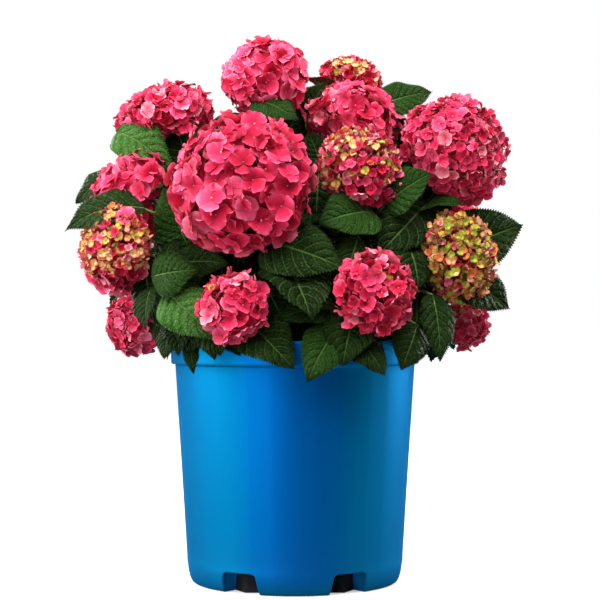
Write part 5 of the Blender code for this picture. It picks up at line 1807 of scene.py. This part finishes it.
MASS_NODES = ["flowering_mass_" + cane.name for cane in CANES]
FOLIAGE = ("foliage", *(shoot.name for shoot in SHOOTS), *MASS_NODES)
FLOWER_HEADS = ("flower_heads", *MASS_NODES)
stands_for(build_pot(pot_material(), FINISHES["notch_shade"]), "pot_plastic", "pot")
stands_for(build_soil(FINISHES["peat"]), "potting_soil", "potting_soil")
chips = build_chips(finishes("chip_brown", "chip_tan", "chip_dark", "perlite"))
stands_for(chips, "potting_soil", "potting_soil")
canes, crown_wood = build_wood(finishes("bark_tan", "green_wood"))
stands_for(canes, "woody_stems", *("cane_" + cane.name for cane in CANES))
stands_for(crown_wood, "woody_stems", "woody_crown")

# %% Build the leaves, the twigs and the petioles
tint_rng = np.random.default_rng(41)
shapes = [shape for shape, _ in growth.leaves]
tints = np.array([leaf_tint(shape, tint_rng) if stated is None else stated
                  for shape, stated in growth.leaves])
shown = np.array([stated is not None for _, stated in growth.leaves])
outer = np.array([outwardness(blade_middle(shape)) > OUTER_REACH for shape in shapes]) & ~shown
plain = ~outer & ~shown
for name, chosen, half_across, rows in (
    ("leaves_shown", shown, FINE_ACROSS, FINEST_ROWS),
    ("leaves_outer", outer, FINE_ACROSS, FINE_ROWS),
    ("leaves_inner", plain, COARSE_ACROSS, COARSE_ROWS),
):
    picked = [shape for shape, take in zip(shapes, chosen) if take]
    blades = add_blades(name, picked, half_across, rows, tints[chosen], 42)
    stands_for(blades, *FOLIAGE)
print(shown.sum(), "finest leaves,", outer.sum(), "fine ones and", plain.sum(), "plain")

petioles = petiole_points(shapes, shown * DRAWN_IN)
stands_for(add_tubes("petioles", petioles, FINISHES["green_stalk"]), *FOLIAGE)
stands_for(add_tubes("twigs", twig_points(), FINISHES["green_stalk"]), *FOLIAGE)

# %% Build the flowers
MOST_TRIANGLES = 190_000  # in one piece of petals
bloom_rng = np.random.default_rng(51)
per_head = [head_florets(head, bloom_rng) for head in HEADS]
places, normals, size, cup, petal_tints, inner = [np.concatenate(p) for p in zip(*per_head)]
is_small = size < SMALL_FLORET
for name, chosen, run, wing, outline in (
    ("petals", ~inner & ~is_small, FINE_RUN, FINE_WING, ROUND_HALF),
    ("small_petals", ~inner & is_small, SMALL_RUN, PLAIN_WING, POINTED_HALF),
    ("inner_petals", inner, PLAIN_RUN, PLAIN_WING, ROUND_HALF),
):
    points, uv = petal_points(places[chosen], normals[chosen], size[chosen], cup[chosen], run, wing,
                              outline, bloom_rng)
    triangles = len(points) * 8 * (len(run) - 1) * (len(wing) - 1)
    parts = ceil(triangles / MOST_TRIANGLES)
    for number, pick in enumerate(np.array_split(np.arange(len(points)), parts), 1):
        piece = add_petals(f"{name}_{number}", points[pick], uv[pick], petal_tints[chosen][pick])
        stands_for(piece, *FLOWER_HEADS)
buds = add_buds(places[~inner], normals[~inner], size[~inner], finishes("bud_pink", "bud_red"),
                bloom_rng)
stands_for(buds, *FLOWER_HEADS)
stalks = add_tubes("floret_stalks", stalk_points(HEADS, per_head), FINISHES["floret_stalk"])
stands_for(stalks, *FLOWER_HEADS)
print(len(places), "florets on", len(HEADS), "heads")

# %% [markdown]
# ## The studio
#
# A white floor runs on into a white surround. The brightest light is a large soft one on the left.
# A low one and a fill stand nearer the front, two on the right, one overhead and two behind, so
# that the plant is well lit from every side. The pot's curved wall shows the lights as bands, with
# a dark one between the front and the right.

# %% Floor, lights and camera
def softbox(name, bearing, nod, distance, width, height, power):
    """An area light that looks at the middle of the plant from a bearing and nod."""
    lamp = bpy.data.lights.new(name, "AREA")
    lamp.shape = "RECTANGLE"
    lamp.size, lamp.size_y, lamp.energy = width, height, power
    made = bpy.data.objects.new(name, lamp)
    middle = Vector((0, 0, 0.25))
    made.location = middle + facing(bearing, nod) * distance
    made.rotation_euler = (made.location - middle).to_track_quat("Z", "Y").to_euler()
    bpy.context.scene.collection.objects.link(made)


def build_floor():
    """A wide white disc. Only the camera sees it glow, into the white surround."""
    made, tree, shader = new_material("studio_floor", FLOOR_SEEN, 0.9, specular=0.0)
    where = coordinates(tree)
    grain = use_group(tree, GRAIN, where, Scale=400.0)
    bumped(tree, shader, grain.outputs["Fine"], 0.02 * MM)
    away = add_node(tree, "VectorMath", {0: where}, operation="LENGTH")
    far = smooth_step(tree, away.outputs["Value"], FLOOR_NEAR, FLOOR_FAR)
    camera_ray = tree.nodes.new("ShaderNodeLightPath").outputs["Is Camera Ray"]
    glow = math_node(tree, "MULTIPLY_ADD", far, 1 - FLOOR_GLOW, FLOOR_GLOW)
    seen = times(tree, camera_ray, glow)
    set_inputs(tree, shader, {
        "Emission Color": mixed_color(tree, seen, "#000000", "#FFFFFF"),
        "Emission Strength": 1.0,
        "Base Color": mixed_color(tree, camera_ray, FLOOR_BOUNCE, FLOOR_SEEN),
    })
    bpy.ops.mesh.primitive_circle_add(vertices=128, radius=FLOOR_RADIUS, fill_type="NGON",
                                      location=(0, 0, -FLOOR_DROP))
    floor = bpy.context.object
    floor.name = "studio_floor"
    floor.data.materials.append(made)


def build_world():
    """White to the camera, and a dim even light to the rest."""
    world = bpy.data.worlds.new("studio")
    bpy.context.scene.world = world
    world.use_nodes = True
    tree = world.node_tree
    camera_ray = tree.nodes.new("ShaderNodeLightPath").outputs["Is Camera Ray"]
    strength = math_node(tree, "MULTIPLY_ADD", camera_ray, 1 - DIM_LIGHT, DIM_LIGHT)
    set_inputs(tree, tree.nodes["Background"], {"Color": (1, 1, 1, 1), "Strength": strength})


FLOOR_RADIUS = 30.0
FLOOR_DROP = 0.4 * MM  # how far under the pot's foot the floor lies
FLOOR_NEAR, FLOOR_FAR = 0.12, 0.9  # the glow of the floor grows between these distances
FLOOR_GLOW = 0.45
FLOOR_SEEN, FLOOR_BOUNCE = "#D8D8D8", "#707070"  # the floor lights the plant less than it looks
DIM_LIGHT = 0.09
build_world()
build_floor()
# Each light's bearing and nod, its distance, width and height in metres, and its watts.
for light in (
    ("key_left", -88, 75, 1.7, 1.4, 0.9, 37),
    ("low_front", -36, 88, 1.8, 1.3, 0.6, 11),
    ("front_fill", -26, 48, 2.1, 0.9, 0.9, 28),
    ("upper_right", 34, 36, 1.9, 0.8, 0.8, 24),
    ("right_strip", 116, 77, 1.5, 0.6, 0.8, 21),
    ("overhead", 0, 16, 1.5, 1.2, 1.2, 20),
    ("back_left", -138, 72, 1.8, 0.9, 1.1, 18),
    ("back_right", 152, 62, 1.8, 0.9, 1.1, 14),
):
    softbox(*light)

CAMERA_PLACE = (0.0046, -1.476, 0.240)
CAMERA_TILT = 90.53
CAMERA_LENS, CAMERA_SENSOR = 97.2, 36.0
camera = bpy.data.objects.new("camera", bpy.data.cameras.new("camera"))
camera.location = CAMERA_PLACE
camera.rotation_euler = (radians(CAMERA_TILT), 0, 0)
camera.data.sensor_width = CAMERA_SENSOR
camera.data.lens = CAMERA_LENS
bpy.context.scene.collection.objects.link(camera)
bpy.context.scene.camera = camera
bpy.context.scene.view_settings.view_transform = "Standard"
